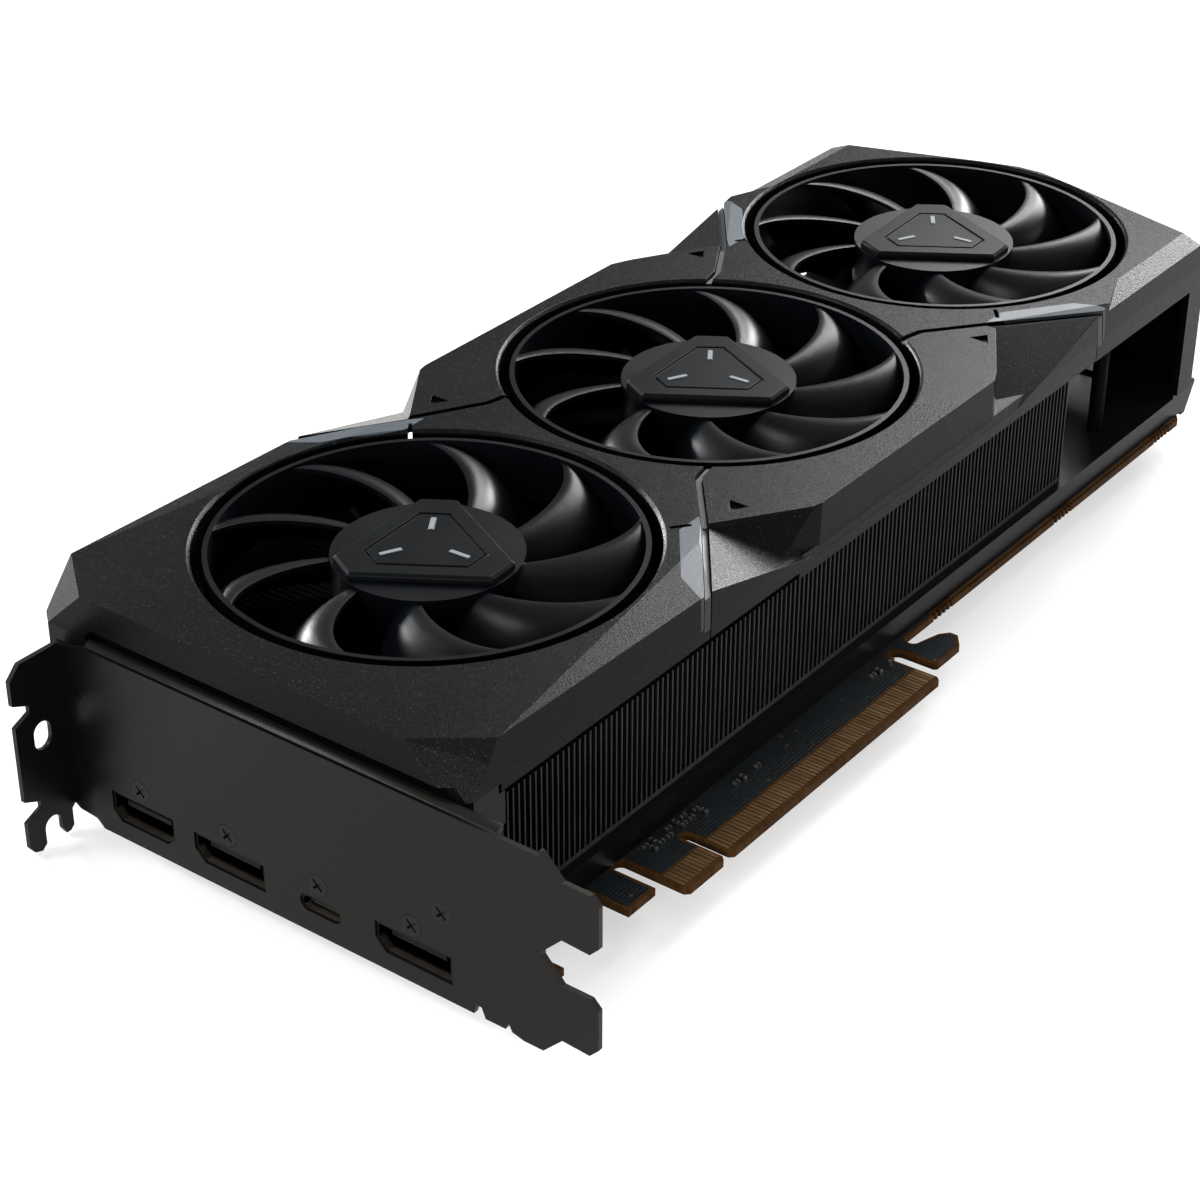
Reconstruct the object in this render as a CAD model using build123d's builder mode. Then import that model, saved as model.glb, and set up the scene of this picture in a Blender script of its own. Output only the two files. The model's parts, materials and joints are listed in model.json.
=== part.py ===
from build123d import *
import os
from math import atan2, cos, degrees, hypot, radians, sin

os.makedirs("parts", exist_ok=True)

# A dual-slot graphics card with three axial fans, in millimetres.
# The origin lies on the outer face of the bracket, at the height of the board's component side.
# +X runs towards the tail, +Y away from the edge connector, +Z from the board to the fans.

# ---- card levels (heights above the component side) ----
board_t = 1.57
top_z = 44.0            # upper surface of the shroud
skirt_z = 32.2          # lower edge of the shroud's side walls
skirt_step = 1.4        # the front part of the side walls ends this much higher
shoulder_z = 37.0       # side walls stand upright below this level
shell_t = 2.0           # top plate of the shroud
wall_t = 1.6            # side walls of the shroud
frame_floor_z = 3.9     # underside of the cooler frame's floor
frame_floor_t = 1.4
rail_t = 1.5            # wall of the cooler frame's side rail
deck_t = 1.8            # plate that carries the fan motors

# ---- bracket ----
sheet_t = 1.0
slot_pitch = 20.32      # distance between expansion slots
flange_y = 59.82        # outer face of the screw flange
flange_depth = 11.43
flange_top_z = 33.0
flange_low_z = -6.3
plate_low_z = -3.8
tongue_reach = 120.02   # flange face to tongue ends
tongue_h = 11.2
tongue_low_z = -0.4
tongue_l = 11.2         # tongue ends to the plate's shoulder
hem_top_z = 35.0        # upper edge of the folded hem
hem_r = 2.6
hem_inset = 9.5         # from the shoulder to the hem's near end
hem_far_y = 52.6
hem_edge_z = 34.2       # upper edge of the plate beyond the hem
screw_hole_w = 4.0
screw_hole_l = 5.7
screw_hole_x = -5.5
screw_hole_z = 16.45
guide_w = 3.2           # guide notches in the flange's free edge
guide_depth = 3.5
guide_z = 23.1

# ---- bracket screws ----
screw_head_r = 2.15
screw_shank_r = 1.1
screw_len = 5.0
screw_gap = 0.1         # around the port screws
snug_gap = 0.03         # around the bracket's own screws

# ---- ports: centre along Y, width, height, depth ----
port_gap = 0.15
hdmi_y, hdmi_w, hdmi_h, hdmi_depth = 40.9, 15.0, 5.9, 12.0
dp_ys, dp_w, dp_h, dp_depth = (20.0, -21.8), 16.4, 5.5, 13.4
usb_y, usb_w, usb_h, usb_depth = -1.1, 9.0, 3.2, 8.5
usb_lift = 0.7
port_wall = 0.4
port_recess = 0.3       # mouths stand this far behind the bracket's outer face
hdmi_cut, dp_cut = 1.9, 2.3     # slanted lower corners of the mouths

# ---- circuit board and edge connector ----
board_x0 = 2.2
board_low_y, board_high_y = -32.8, 62.5
key_x = 57.15           # centre of the key notch, from the bracket face
key_w = 1.9
short_w, long_w = 11.65, 71.65
finger_y = -46.1        # free edge of the connector
finger_root_y = -36.9
front_notch_w = 3.05
front_tab_w = 7.9
front_tab_y = -41.4
corner_lobe_x, corner_lobe_y = 14.6, -42.1
hook_slot_w = 3.8
hook_slot_y = -35.3
hook_w, hook_y = 10.1, -42.8
hook_neck_w = 5.2
hook_toe = 1.9
edge_notch_w = 3.0      # keyway beneath the hook's toe
contact_pitch, contact_w, contact_l, contact_t = 1.0, 0.7, 4.4, 0.06
contact_setback = 1.3
mask_t = 0.05
mask_edge = 0.75        # bare rim of the board around the solder mask
bite_pitch, bite_w, bite_depth, bite_count = 1.6, 0.7, 0.8, 5
bite_xs = (153.0, 203.3)
bite_tail = 12.0        # last group, from the board's tail end

# ---- shroud ----
mid_y = 16.5            # centre line of the shroud
side_margin = 6.6       # from the fan openings to the side walls
draft = 0.4             # side walls lean in by this much at the top
front_x = 1.5
front_lean = 0.4
corner_x = 10.8         # where the front corner facets meet the top of the side walls
corner_top = 12.6       # and the top of the front wall, from the side walls
corner_foot, corner_foot_z = 2.6, 35.0  # the facets end in small cut corners
front_edge_z = 35.2     # lower edge of the shroud beside the bracket
front_edge_x = 11.0
hem_gap_z = 37.3        # lower edge of the front wall over the bracket's hem
hem_gap_x = 3.2
hem_gap_y = 52.4
tail_in = 7.55          # tail wall at the sides, from the rear opening's tail end
tail_lean = 4.6
tail_knee, tail_knee_half = 9.0, 12.0
tail_nose, tail_nose_half = 11.4, 3.0
bulge_lean = 2.2
post_in = 7.0           # front edge of the tail posts, from the tail wall
post_low_z = 6.4        # lower end of the tail wall and of the far wall beside it
vent_w, vent_h, vent_pitch, vent_count = 3.0, 15.0, 6.0, 9
step_run = 0.95
ramp_x, ramp_y, ramp_z = 53.0, 35.0, 43.5   # a point of the ramp, from mid fan and centre line
ramp_slope_x, ramp_slope_y = 0.236, 0.366
ledge_z = 36.0
ledge_rim = 1.0         # where the ledge starts to slope, from the side walls
ledge_slope = 1.27
facet_slope_x, facet_slope_y = 0.0204, 0.1365
facet_w = 4.4
facet_slope = 0.37
facet_x = 88.0          # the tail facets start here, from the middle fan
facet_run = 12.0
strip_w, strip_gap = 1.1, 0.15      # accent strips and the gap on either side
strip_drop = 0.9                    # strips lie this far below the panels
strip_depth = 1.4                   # depth of the grooves that hold them
wing_low_z = 34.6
cut_drop = 2.2          # the cavity follows the ramps this far below
rim_bevel = 0.6
inlay_t = 0.7
slot_l, slot_w, slot_turn = 4.2, 0.9, 37.5
mark_depth = 0.9

# ---- fans ----
opening_r = 42.3
fan_bridge = 3.4        # between neighbouring openings
front_margin = 10.75    # from the bracket face to the first opening
fan_y = 18.1
duct_t = 1.3
deck_ring_w = 2.6
rim_gap = 2.1           # between the opening and the rotor's rim
rim_t = 1.0
rim_h = 10.8
rotor_drop = 0.6        # rim's upper edge below the shroud's surface
blade_count = 9
hub_r = 17.7
hub_drop = 2.5
hub_wall = 1.5
hub_h = 9.4
cap_r, cap_h, cap_half = 17.2, 1.5, 12.0
cap_turn = 33.0
groove_r, groove_half, groove_w, groove_depth = 11.6, 14.0, 0.5, 0.4
bar_r0, bar_r1, bar_w, bar_h = 5.0, 9.3, 0.9, 0.2
blade_t = 0.9
blade_turn = 3.0        # angle of the first leading tip
blade_sweep = 28.5      # the roots trail the tips by this much
blade_span = 23.0       # angle covered by a blade
blade_camber = 2.6
tip_drop, tip_rise = 0.4, 10.2      # leading tip below the rim's edge, height of the tip
root_drop, root_rise = 0.6, 8.0
shaft_r = 1.5
shaft_gap = 0.05
bearing_r = 3.2
stator_r = 13.2
motor_plate_r = 17.0
strut_w = 3.4
strut_count = 4

# ---- cooler ----
fin_pitch, fin_t = 1.5, 0.4
fin_x0 = 14.2
fin_end = 57.2          # last fin, from the tail wall
fin_base_t = 1.0
fin_near, fin_far = 2.8, 3.2        # from the shroud's side walls
rail_near, rail_far = 0.9, 2.9
frame_x0 = 8.0
frame_in = 1.5          # tail end of the frame, from the tail wall
tail_bar_out, tail_foot_out, tail_foot_z = 4.0, 0.2, -0.9
end_plate_x, end_plate_t = 11.0, 1.2
chamber_back, chamber_ahead = 40.0, 46.0    # from the processor's centre
chamber_y0, chamber_y1 = -20.0, 54.0
post_r = 1.7            # posts between the frame and the fan deck
front_block_w = 2.6     # wall of the block under the shroud's front
front_block_z = 26.6
block_gap = 0.3

# ---- board parts ----
gpu_back, gpu_y = 9.05, 17.0    # from the middle fan
gpu_pack, gpu_pack_t = 40.0, 1.2
die_w, die_l, die_t = 17.0, 21.0, 0.8
memory_w, memory_l, memory_t = 12.0, 14.0, 1.1
memory_reach = 34.0     # from the processor's centre
memory_row = 29.0
memory_split = 22.0
choke_w, choke_l, choke_t = 6.6, 7.0, 3.7
stage_w, stage_l, stage_t = 5.0, 6.0, 0.9
can_r, can_h = 3.1, 3.6
power_pitch = 8.6
power_count = 8
power_back = 62.0       # front row of power stages, from the processor
power_clear = 15.0      # rear row, from the power sockets
chip_l, chip_w, chip_h = 1.5, 0.75, 0.5
chip_end = 0.3
chip_pitch_x, chip_pitch_y = 2.3, 1.45
chip_fields = [(50.0, -33.0, 6, 2), (64.6, -33.6, 1, 2), (76.0, -34.6, 4, 1), (122.2, -35.2, 4, 1)]

# ---- power sockets ----
socket_w, socket_h, socket_l = 18.6, 13.4, 18.0
socket_gap = 1.4
socket_in = 51.8        # first socket, from the tail wall
socket_face_y = 64.0
socket_hole, socket_hole_pitch, socket_hole_depth = 3.5, 4.2, 12.0

# ---- back ----
back_gap = 2.4
back_t = 1.4
back_x0 = 10.0
back_in = 6.8           # tail end of the back plate, from the tail wall
back_y0, back_y1 = -27.8, 60.0
back_window = 62.0
spring_t = 1.2
spring_pitch = 50.0

# ---- derived positions ----
fan_pitch = 2 * opening_r + fan_bridge
half_pitch = fan_pitch / 2
half_w = opening_r + side_margin
fan_xs = [front_margin + opening_r + i * fan_pitch for i in range(3)]
mid_x = fan_xs[1]
tail_x = fan_xs[2] + opening_r - tail_in
post_x = tail_x - post_in
board_x1 = tail_x - 1.8
frame_x1 = tail_x - frame_in
tail_bar_x = tail_x + tail_bar_out
tail_foot_x = tail_x + tail_foot_out
fin_x1 = tail_x - fin_end
back_x1 = tail_x - back_in
socket_x0 = tail_x - socket_in
step_x = mid_x - half_pitch + step_run
ledge_in = half_w - ledge_rim
near_y, far_y = mid_y - half_w, mid_y + half_w
fin_low_y, fin_high_y = near_y + fin_near, far_y - fin_far
rail_low_y, rail_high_y = near_y + rail_near, far_y - rail_far
gpu_x = mid_x - gpu_back
power_xs = (gpu_x - power_back, socket_x0 - power_clear)
chamber_x0, chamber_x1 = gpu_x - chamber_back, gpu_x + chamber_ahead
floor_top_z = frame_floor_z + frame_floor_t
fin_z0 = floor_top_z + fin_base_t
rim_top_z = top_z - rotor_drop
rim_low_z = rim_top_z - rim_h
deck_top_z = rim_low_z - 1.2
deck_z = deck_top_z - deck_t
rim_r = opening_r - rim_gap
hub_top_z = top_z - hub_drop
under_top_z = top_z - shell_t
die_top_z = gpu_pack_t + die_t
chamber_z0 = die_top_z
tongue_end_y = flange_y - tongue_reach
shoulder_y = tongue_end_y + tongue_l
hem_near_y = shoulder_y + hem_inset
back_top_z = -board_t - back_gap

# ---- plan of the wing panels, (along, across) from the middle fan ----
seam_in = (20.0, 21.4)
seam_elbow = (half_pitch - 4.4, 25.3)
seam_bend = (half_pitch + 10.0, half_w - 13.7)      # these two from the centre line
seam_out = (half_pitch + 28.1, half_w - 0.3)
wing_front_top = [
    (half_pitch + 10.0, half_w - 14.0),
    (half_pitch - 7.8, half_w - 1.8),
    (half_pitch - 10.0, half_w - 1.3),
]
wing_front_low = [
    (half_pitch + 12.4, half_w - 10.5),
    (half_pitch + 1.7, half_w - 3.1),
    (half_pitch - 8.5, half_w - 0.7),
]
wing_rear_top = [
    (half_pitch + 6.6, half_w - 13.4),
    (half_pitch - 10.9, half_w - 3.2),
    (half_pitch - 15.2, half_w - 1.3),
]
wing_rear_low = [
    (half_pitch + 7.0, half_w - 12.8),
    (half_pitch - 11.6, half_w - 2.2),
    (half_pitch - 15.4, half_w - 0.7),
]
slot_spot = (half_pitch + 13.0, half_w - 16.9)
mark_points = [
    (half_pitch - 0.5, half_w - 15.5),
    (half_pitch + 2.8, half_w - 13.2),
    (half_pitch - 0.5, half_w - 11.2),
]
inlay_points = [
    (half_pitch + 14.2, half_w - 16.4),
    (half_pitch + 8.0, half_w - 16.4),
    (half_pitch + 26.0, half_w - 1.0),
    (half_pitch + 30.6, half_w + 0.5),
    (half_pitch + 27.4, half_w - 6.6),
]


def save(part, name):
    """Label a finished piece and write it to its own file."""
    part.label = name
    export_step(part, f"parts/{name}.step")


# ================================================================ bracket
def tongue_points(lift):
    """One slot tongue, in (Y, Z), closed by the plate's shoulder."""
    low = tongue_low_z + lift
    high = low + tongue_h
    root = shoulder_y + 0.5
    return [
        (root, low - 4.0),
        (shoulder_y, low - 4.0),
        (shoulder_y - 3.9, low),
        (tongue_end_y + 1.8, low - 0.3),
        (tongue_end_y, low + 1.6),
        (tongue_end_y, high - 1.6),
        (tongue_end_y + 1.6, high),
        (shoulder_y - 4.0, high),
        (shoulder_y, high + 4.2),
        (root, high + 4.2),
    ]


screw_spots = [(55.0, 24.0), (54.8, 8.8), (-28.1, 13.7)]
port_screw_spots = [(41.2, 8.6), (20.1, 8.3), (-0.7, 7.0), (-21.5, 8.2)]


def port_points(y, w, h, near_cut, far_cut, grow):
    """Outline of a port's mouth, in (Y, Z), with slanted lower corners."""
    y0, y1 = y - w / 2 - grow, y + w / 2 + grow
    z0, z1 = -grow, h + grow
    points = [(y0, z1), (y0, z0 + near_cut), (y0 + near_cut, z0)]
    points += [(y1 - far_cut, z0), (y1, z0 + far_cut), (y1, z1)]
    return [point for i, point in enumerate(points) if point != points[i - 1]]


guide_spots = [(-flange_depth + guide_depth / 2, guide_z - i * slot_pitch) for i in range(2)]

with BuildPart() as bracket:
    with BuildSketch(Plane.YZ):
        with BuildLine():
            Polyline(
                (shoulder_y, plate_low_z - 0.6),
                (shoulder_y + 4.0, plate_low_z - 0.6),
                (shoulder_y + 6.4, plate_low_z),
                (shoulder_y + 7.1, plate_low_z + 1.4),
                (shoulder_y + 7.8, plate_low_z),
                (shoulder_y + 12.0, plate_low_z),
                (shoulder_y + 12.8, plate_low_z + 2.0),
                (shoulder_y + 13.8, plate_low_z + 2.0),
                (shoulder_y + 14.4, plate_low_z),
                (hem_far_y - 1.0, plate_low_z),
                (hem_far_y, plate_low_z + 1.0),
                (hem_far_y + 0.8, plate_low_z + 1.6),
                (flange_y - 2.4, plate_low_z + 1.9),
                (flange_y, plate_low_z + 3.4),
                (flange_y, flange_top_z),
                (hem_far_y + 2.8, flange_top_z + 0.4),
                (hem_far_y + 0.6, hem_edge_z),
                (hem_near_y - 1.4, hem_edge_z),
                (shoulder_y, hem_edge_z),
                close=True,
            )
        make_face()
        for lift in (0, slot_pitch):
            with BuildLine():
                Polyline(*tongue_points(lift), close=True)
            make_face()
    extrude(amount=sheet_t)
    # folded hem along the upper edge
    with BuildSketch(Plane.XZ.offset(-hem_far_y)):
        with BuildLine():
            RadiusArc((0, hem_top_z - hem_r), (hem_r, hem_top_z), hem_r)
            Line((hem_r, hem_top_z), (hem_r, hem_top_z - sheet_t))
            RadiusArc((hem_r, hem_top_z - sheet_t), (sheet_t, hem_top_z - hem_r), -(hem_r - sheet_t))
            Line((sheet_t, hem_top_z - hem_r), (0, hem_top_z - hem_r))
        make_face()
    extrude(amount=hem_far_y - hem_near_y)
    # screw flange, bent outwards
    with BuildSketch(Plane.XZ.offset(-flange_y)):
        with BuildLine():
            Polyline(
                (sheet_t, flange_low_z + 6.0),
                (-0.8, flange_low_z + 4.4),
                (-0.8, flange_low_z + 0.8),
                (-1.7, flange_low_z),
                (-2.7, flange_low_z),
                (screw_hole_x + screw_hole_w / 2, flange_low_z + 1.4),
                (screw_hole_x - screw_hole_w / 2, flange_low_z + 0.4),
                (screw_hole_x - screw_hole_w / 2 - 1.2, flange_low_z - 0.6),
                (-flange_depth + 1.0, flange_low_z),
                (-flange_depth, flange_low_z + 1.4),
                (-flange_depth, flange_top_z - 2.6),
                (-flange_depth + 2.6, flange_top_z),
                (sheet_t, flange_top_z),
                close=True,
            )
        make_face()
        with Locations(*guide_spots):
            Trapezoid(guide_w + 1.6, guide_depth + 0.2, 66, rotation=-90, mode=Mode.SUBTRACT)
        with Locations((screw_hole_x, screw_hole_z), (screw_hole_x, screw_hole_z - slot_pitch)):
            SlotOverall(screw_hole_l, screw_hole_w, rotation=90, mode=Mode.SUBTRACT)
        with Locations((screw_hole_x, screw_hole_z - slot_pitch - screw_hole_l / 2)):
            Rectangle(screw_hole_w, screw_hole_l, mode=Mode.SUBTRACT)
    extrude(amount=sheet_t)
    # port windows
    with BuildSketch(Plane.YZ):
        with BuildLine():
            Polyline(*port_points(hdmi_y, hdmi_w, hdmi_h, hdmi_cut, hdmi_cut, port_gap), close=True)
        make_face()
        for y in dp_ys:
            with BuildLine():
                Polyline(*port_points(y, dp_w, dp_h, 0, dp_cut, port_gap), close=True)
            make_face()
        with Locations((usb_y, usb_lift + usb_h / 2)):
            SlotOverall(usb_w + 2 * port_gap, usb_h + 2 * port_gap)
    extrude(amount=sheet_t, mode=Mode.SUBTRACT)
    for spots, gap in ((screw_spots, snug_gap), (port_screw_spots, screw_gap)):
        with Locations(*[Location((0, y, z), (0, -90, 0)) for y, z in spots]):
            CounterSinkHole(screw_shank_r + gap, screw_head_r + gap, depth=sheet_t)

save(bracket.part, "io_bracket")


# ================================================================ flush screws
def flush_screws(spots):
    """Countersunk screws with a cross recess, seated in the bracket."""
    cone = screw_head_r - screw_shank_r
    with BuildPart() as screws:
        for y, z in spots:
            with BuildSketch(Plane((0, y, z), x_dir=(1, 0, 0), z_dir=(0, -1, 0))):
                with BuildLine():
                    Polyline(
                        (0, 0),
                        (0, screw_head_r),
                        (cone, screw_shank_r),
                        (screw_len, screw_shank_r),
                        (screw_len, 0),
                        close=True,
                    )
                make_face()
            revolve(axis=Axis((0, y, z), (1, 0, 0)))
        with BuildSketch(Plane.YZ):
            with Locations(*spots):
                Rectangle(2.7, 0.5, rotation=45)
                Rectangle(2.7, 0.5, rotation=-45)
        extrude(amount=0.6, mode=Mode.SUBTRACT)
    return screws.part


save(flush_screws(screw_spots), "bracket_screws")
save(flush_screws(port_screw_spots), "port_screws")


# ================================================================ ports
def video_port(y, w, h, depth, near_cut, far_cut, tongue_w, tongue_z):
    """Metal shell with a slanted mouth, a closed back and a contact tongue."""
    outline = port_points(y, w, h, near_cut, far_cut, 0)
    with BuildPart() as port:
        with BuildSketch(Plane.YZ.offset(port_recess)):
            with BuildLine():
                Polyline(*outline, close=True)
            make_face()
            offset(amount=-port_wall, mode=Mode.SUBTRACT)
        extrude(amount=depth)
        with BuildSketch(Plane.YZ.offset(port_recess + depth - 1.0)):
            with BuildLine():
                Polyline(*outline, close=True)
            make_face()
        extrude(amount=1.0)
        with BuildSketch(Plane.YZ.offset(port_recess + 1.2)):
            with Locations((y, tongue_z)):
                Rectangle(tongue_w, 1.0)
        extrude(amount=depth - 1.7)
    return port.part


hdmi_tongue_w, hdmi_tongue_z = hdmi_w - 4.2, hdmi_h / 2 + 0.4
hdmi_port = video_port(hdmi_y, hdmi_w, hdmi_h, hdmi_depth, hdmi_cut, hdmi_cut, hdmi_tongue_w, hdmi_tongue_z)
save(hdmi_port, "hdmi_port")

dp_shells = [video_port(y, dp_w, dp_h, dp_depth, 0, dp_cut, dp_w - 4.6, dp_h / 2 + 0.6) for y in dp_ys]

with BuildPart() as displayport:
    for shell_part in dp_shells:
        add(shell_part)

save(displayport.part, "displayport_ports")

with BuildPart() as usb_c:
    with BuildSketch(Plane.YZ.offset(port_recess)):
        with Locations((usb_y, usb_lift + usb_h / 2)):
            SlotOverall(usb_w, usb_h)
        offset(amount=-port_wall, mode=Mode.SUBTRACT)
    extrude(amount=usb_depth)
    with BuildSketch(Plane.YZ.offset(port_recess + usb_depth - 1.0)):
        with Locations((usb_y, usb_lift + usb_h / 2)):
            SlotOverall(usb_w - 0.2, usb_h - 0.2)
    extrude(amount=1.0)
    with BuildSketch(Plane.YZ.offset(port_recess + 0.8)):
        with Locations((usb_y, usb_lift + usb_h / 2)):
            Rectangle(usb_w - 2.6, 0.7)
    extrude(amount=usb_depth - 1.3)
    # foot that carries the raised shell on the board
    with BuildSketch(Plane.XY):
        with Locations((port_recess + 2.4 + (usb_depth - 2.4) / 2, usb_y)):
            Rectangle(usb_depth - 2.4, usb_w - 3.4)
    extrude(amount=usb_lift + port_wall / 2)

save(usb_c.part, "usb_c_port")


# ================================================================ circuit board
short_x1 = key_x - key_w / 2
short_x0 = short_x1 - short_w
long_x0 = key_x + key_w / 2
long_x1 = long_x0 + long_w
tab_x1 = short_x0 - front_notch_w
tab_x0 = tab_x1 - front_tab_w
hook_x0 = long_x1 + hook_slot_w
hook_x1 = hook_x0 + hook_w
neck_x1 = hook_x0 + hook_neck_w


def board_outline():
    """Plan of the board with its connector tongue, keyways and retention hook."""
    with BuildSketch() as outline:
        with BuildLine():
            Polyline(
                (board_x0, board_high_y),
                (board_x0, corner_lobe_y),
                (corner_lobe_x, corner_lobe_y),
                (corner_lobe_x, board_low_y),
                (tab_x0, board_low_y),
                (tab_x0, front_tab_y),
                (tab_x1, front_tab_y),
                (tab_x1, board_low_y),
                (short_x0, board_low_y),
                (short_x0, finger_y + 0.8),
                (short_x0 + 0.8, finger_y),
                (short_x1 - 0.8, finger_y),
                (short_x1, finger_y + 0.8),
                (short_x1, finger_root_y),
                (long_x0, finger_root_y),
                (long_x0, finger_y + 0.8),
                (long_x0 + 0.8, finger_y),
                (long_x1 - 0.8, finger_y),
                (long_x1, finger_y + 0.8),
                (long_x1, hook_slot_y),
                (hook_x0, hook_slot_y),
                (hook_x0, hook_y + 0.5),
                (hook_x0 + 0.5, hook_y),
                (hook_x1 - 1.2, hook_y),
                (hook_x1 + hook_toe, hook_y + 2.2),
                (hook_x1 + hook_toe, hook_y + 4.0),
                (hook_x1, board_low_y - edge_notch_w - 1.4),
                (neck_x1, board_low_y - edge_notch_w),
                (neck_x1, board_low_y),
                (board_x1 - 4.0, board_low_y),
                (board_x1, board_low_y + 2.6),
                (board_x1, board_high_y),
                close=True,
            )
        make_face()
        # rounded ends of the keyways
        with Locations(((long_x0 + short_x1) / 2, finger_root_y)):
            Circle(key_w / 2, mode=Mode.SUBTRACT)
        with Locations(((long_x1 + hook_x0) / 2, hook_slot_y)):
            Circle(hook_slot_w / 2, mode=Mode.SUBTRACT)
        with Locations((tab_x1 + front_notch_w / 2, board_low_y)):
            Circle(front_notch_w / 2, mode=Mode.SUBTRACT)
        with Locations((neck_x1, board_low_y - edge_notch_w / 2)):
            Circle(edge_notch_w / 2, mode=Mode.SUBTRACT)
        for x in (*bite_xs, board_x1 - bite_tail):
            with Locations((x, board_low_y)):
                with GridLocations(bite_pitch, 1, bite_count, 1):
                    Rectangle(bite_w, 2 * bite_depth, mode=Mode.SUBTRACT)
    return outline.sketch


back_screw_spots = [
    (24.0, -24.0),
    (24.0, 54.0),
    (gpu_x + 54.0, -24.5),
    (gpu_x + 54.0, 57.0),
    (tail_x - 11.8, -24.0),
    (tail_x - 27.8, 36.0),
]
spring_spots = [
    (gpu_x + sx * spring_pitch / 2, gpu_y + sy * spring_pitch / 2) for sx in (-1, 1) for sy in (-1, 1)
]
back_screw_r = 1.25
back_screw_head_r = 2.6
screw_clear = 0.15
board_plan = board_outline()

with BuildPart() as board:
    with BuildSketch(Plane.XY.offset(-board_t)):
        add(board_plan)
        with Locations(*(back_screw_spots + spring_spots)):
            Circle(back_screw_r + screw_clear, mode=Mode.SUBTRACT)
    extrude(amount=board_t)

save(board.part, "circuit_board")

with BuildPart() as mask:
    with BuildSketch():
        add(board_plan)
        offset(amount=-mask_edge, kind=Kind.INTERSECTION, mode=Mode.REPLACE)
        with Locations((0, rail_low_y - 0.05)):
            Rectangle(2 * board_x1, 200, align=(Align.CENTER, Align.MIN), mode=Mode.SUBTRACT)
        with Locations((corner_lobe_x / 2, corner_lobe_y)):
            Rectangle(corner_lobe_x + 2, 40, mode=Mode.SUBTRACT)
        with Locations(((short_x0 + long_x1) / 2, finger_y)):
            Rectangle(
                short_w + long_w + key_w + 4,
                contact_setback + contact_l + 0.6,
                align=(Align.CENTER, Align.MIN),
                mode=Mode.SUBTRACT,
            )
    extrude(amount=mask_t)

save(mask.part, "solder_mask")

short_n = int(short_w / contact_pitch)
long_n = int(long_w / contact_pitch)
contact_y = finger_y + contact_setback + contact_l / 2

with BuildPart() as contacts:
    for z in (0, -board_t - contact_t):
        with BuildSketch(Plane.XY.offset(z)):
            with Locations(((short_x0 + short_x1) / 2, contact_y)):
                with GridLocations(contact_pitch, 1, short_n, 1):
                    Rectangle(contact_w, contact_l)
            with Locations(((long_x0 + long_x1) / 2, contact_y)):
                with GridLocations(contact_pitch, 1, long_n, 1):
                    Rectangle(contact_w, contact_l)
        extrude(amount=contact_t)

save(contacts.part, "edge_contacts")


# ================================================================ board parts
with BuildPart() as gpu:
    with Locations((gpu_x, gpu_y, 0)):
        Box(gpu_pack, gpu_pack, gpu_pack_t, align=(Align.CENTER, Align.CENTER, Align.MIN))
    with Locations((gpu_x, gpu_y, gpu_pack_t)):
        Box(die_w, die_l, die_t, align=(Align.CENTER, Align.CENTER, Align.MIN))

save(gpu.part, "gpu_package")

column_spots = [
    (gpu_x + side * memory_reach, gpu_y + row * memory_split / 2) for side in (-1, 1) for row in (-1, 1)
]
row_spots = [
    (gpu_x + row * memory_split / 2, gpu_y + side * memory_row) for side in (-1, 1) for row in (-1, 1)
]


def memory_blocks(z, height, inset):
    """One block over each memory site."""
    with BuildPart() as blocks:
        with BuildSketch(Plane.XY.offset(z)):
            with Locations(*column_spots):
                Rectangle(memory_w - inset, memory_l - inset)
            with Locations(*row_spots):
                Rectangle(memory_l - inset, memory_w - inset)
        extrude(amount=height)
    return blocks.part


save(memory_blocks(0, memory_t, 0), "memory_chips")
save(memory_blocks(memory_t, chamber_z0 - memory_t, 1.0), "thermal_pads")

power_ys = [gpu_y + (i - (power_count - 1) / 2) * power_pitch for i in range(power_count)]

with BuildPart() as chokes:
    with BuildSketch():
        with Locations(*[(x, y) for x in power_xs for y in power_ys]):
            Rectangle(choke_w, choke_l)
    extrude(amount=choke_t)
    chamfer(chokes.faces().filter_by(Axis.Z).group_by(Axis.Z)[-1].edges(), length=0.5)

save(chokes.part, "power_inductors")

with BuildPart() as stages:
    with BuildSketch():
        with Locations(*[(x + 8.0, y) for x in power_xs for y in power_ys]):
            Rectangle(stage_w, stage_l)
    extrude(amount=stage_t)

save(stages.part, "power_stages")

with BuildPart() as cans:
    with BuildSketch():
        with Locations(*[(x - 9.0, y) for x in power_xs for y in power_ys]):
            Circle(can_r)
    extrude(amount=can_h)

save(cans.part, "power_capacitors")

chip_spots = []
for x, y, across, deep in chip_fields:
    for i in range(across):
        for j in range(deep):
            if (2 * i + 3 * j) % 5 != 4:
                spot = (x + i * chip_pitch_x + 0.6 * (j % 2), y - j * chip_pitch_y)
                chip_spots.append((*spot, 90 if (i + j) % 3 == 1 else 0))

with BuildPart() as chips:
    with BuildSketch(Plane.XY.offset(mask_t)):
        for x, y, turn in chip_spots:
            with Locations(Location((x, y, 0), (0, 0, turn))):
                Rectangle((chip_l - 2 * chip_end) * 0.9, chip_w)
    extrude(amount=chip_h)

save(chips.part, "edge_components")

with BuildPart() as chip_ends:
    with BuildSketch(Plane.XY.offset(mask_t)):
        for x, y, turn in chip_spots:
            with Locations(Location((x, y, 0), (0, 0, turn))):
                with GridLocations((chip_l - chip_end) * 0.9, 1, 2, 1):
                    Rectangle(chip_end * 0.9, chip_w)
    extrude(amount=chip_h)

save(chip_ends.part, "edge_component_ends")

header_x, header_y = tail_x - 60.2, 56.5

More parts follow.
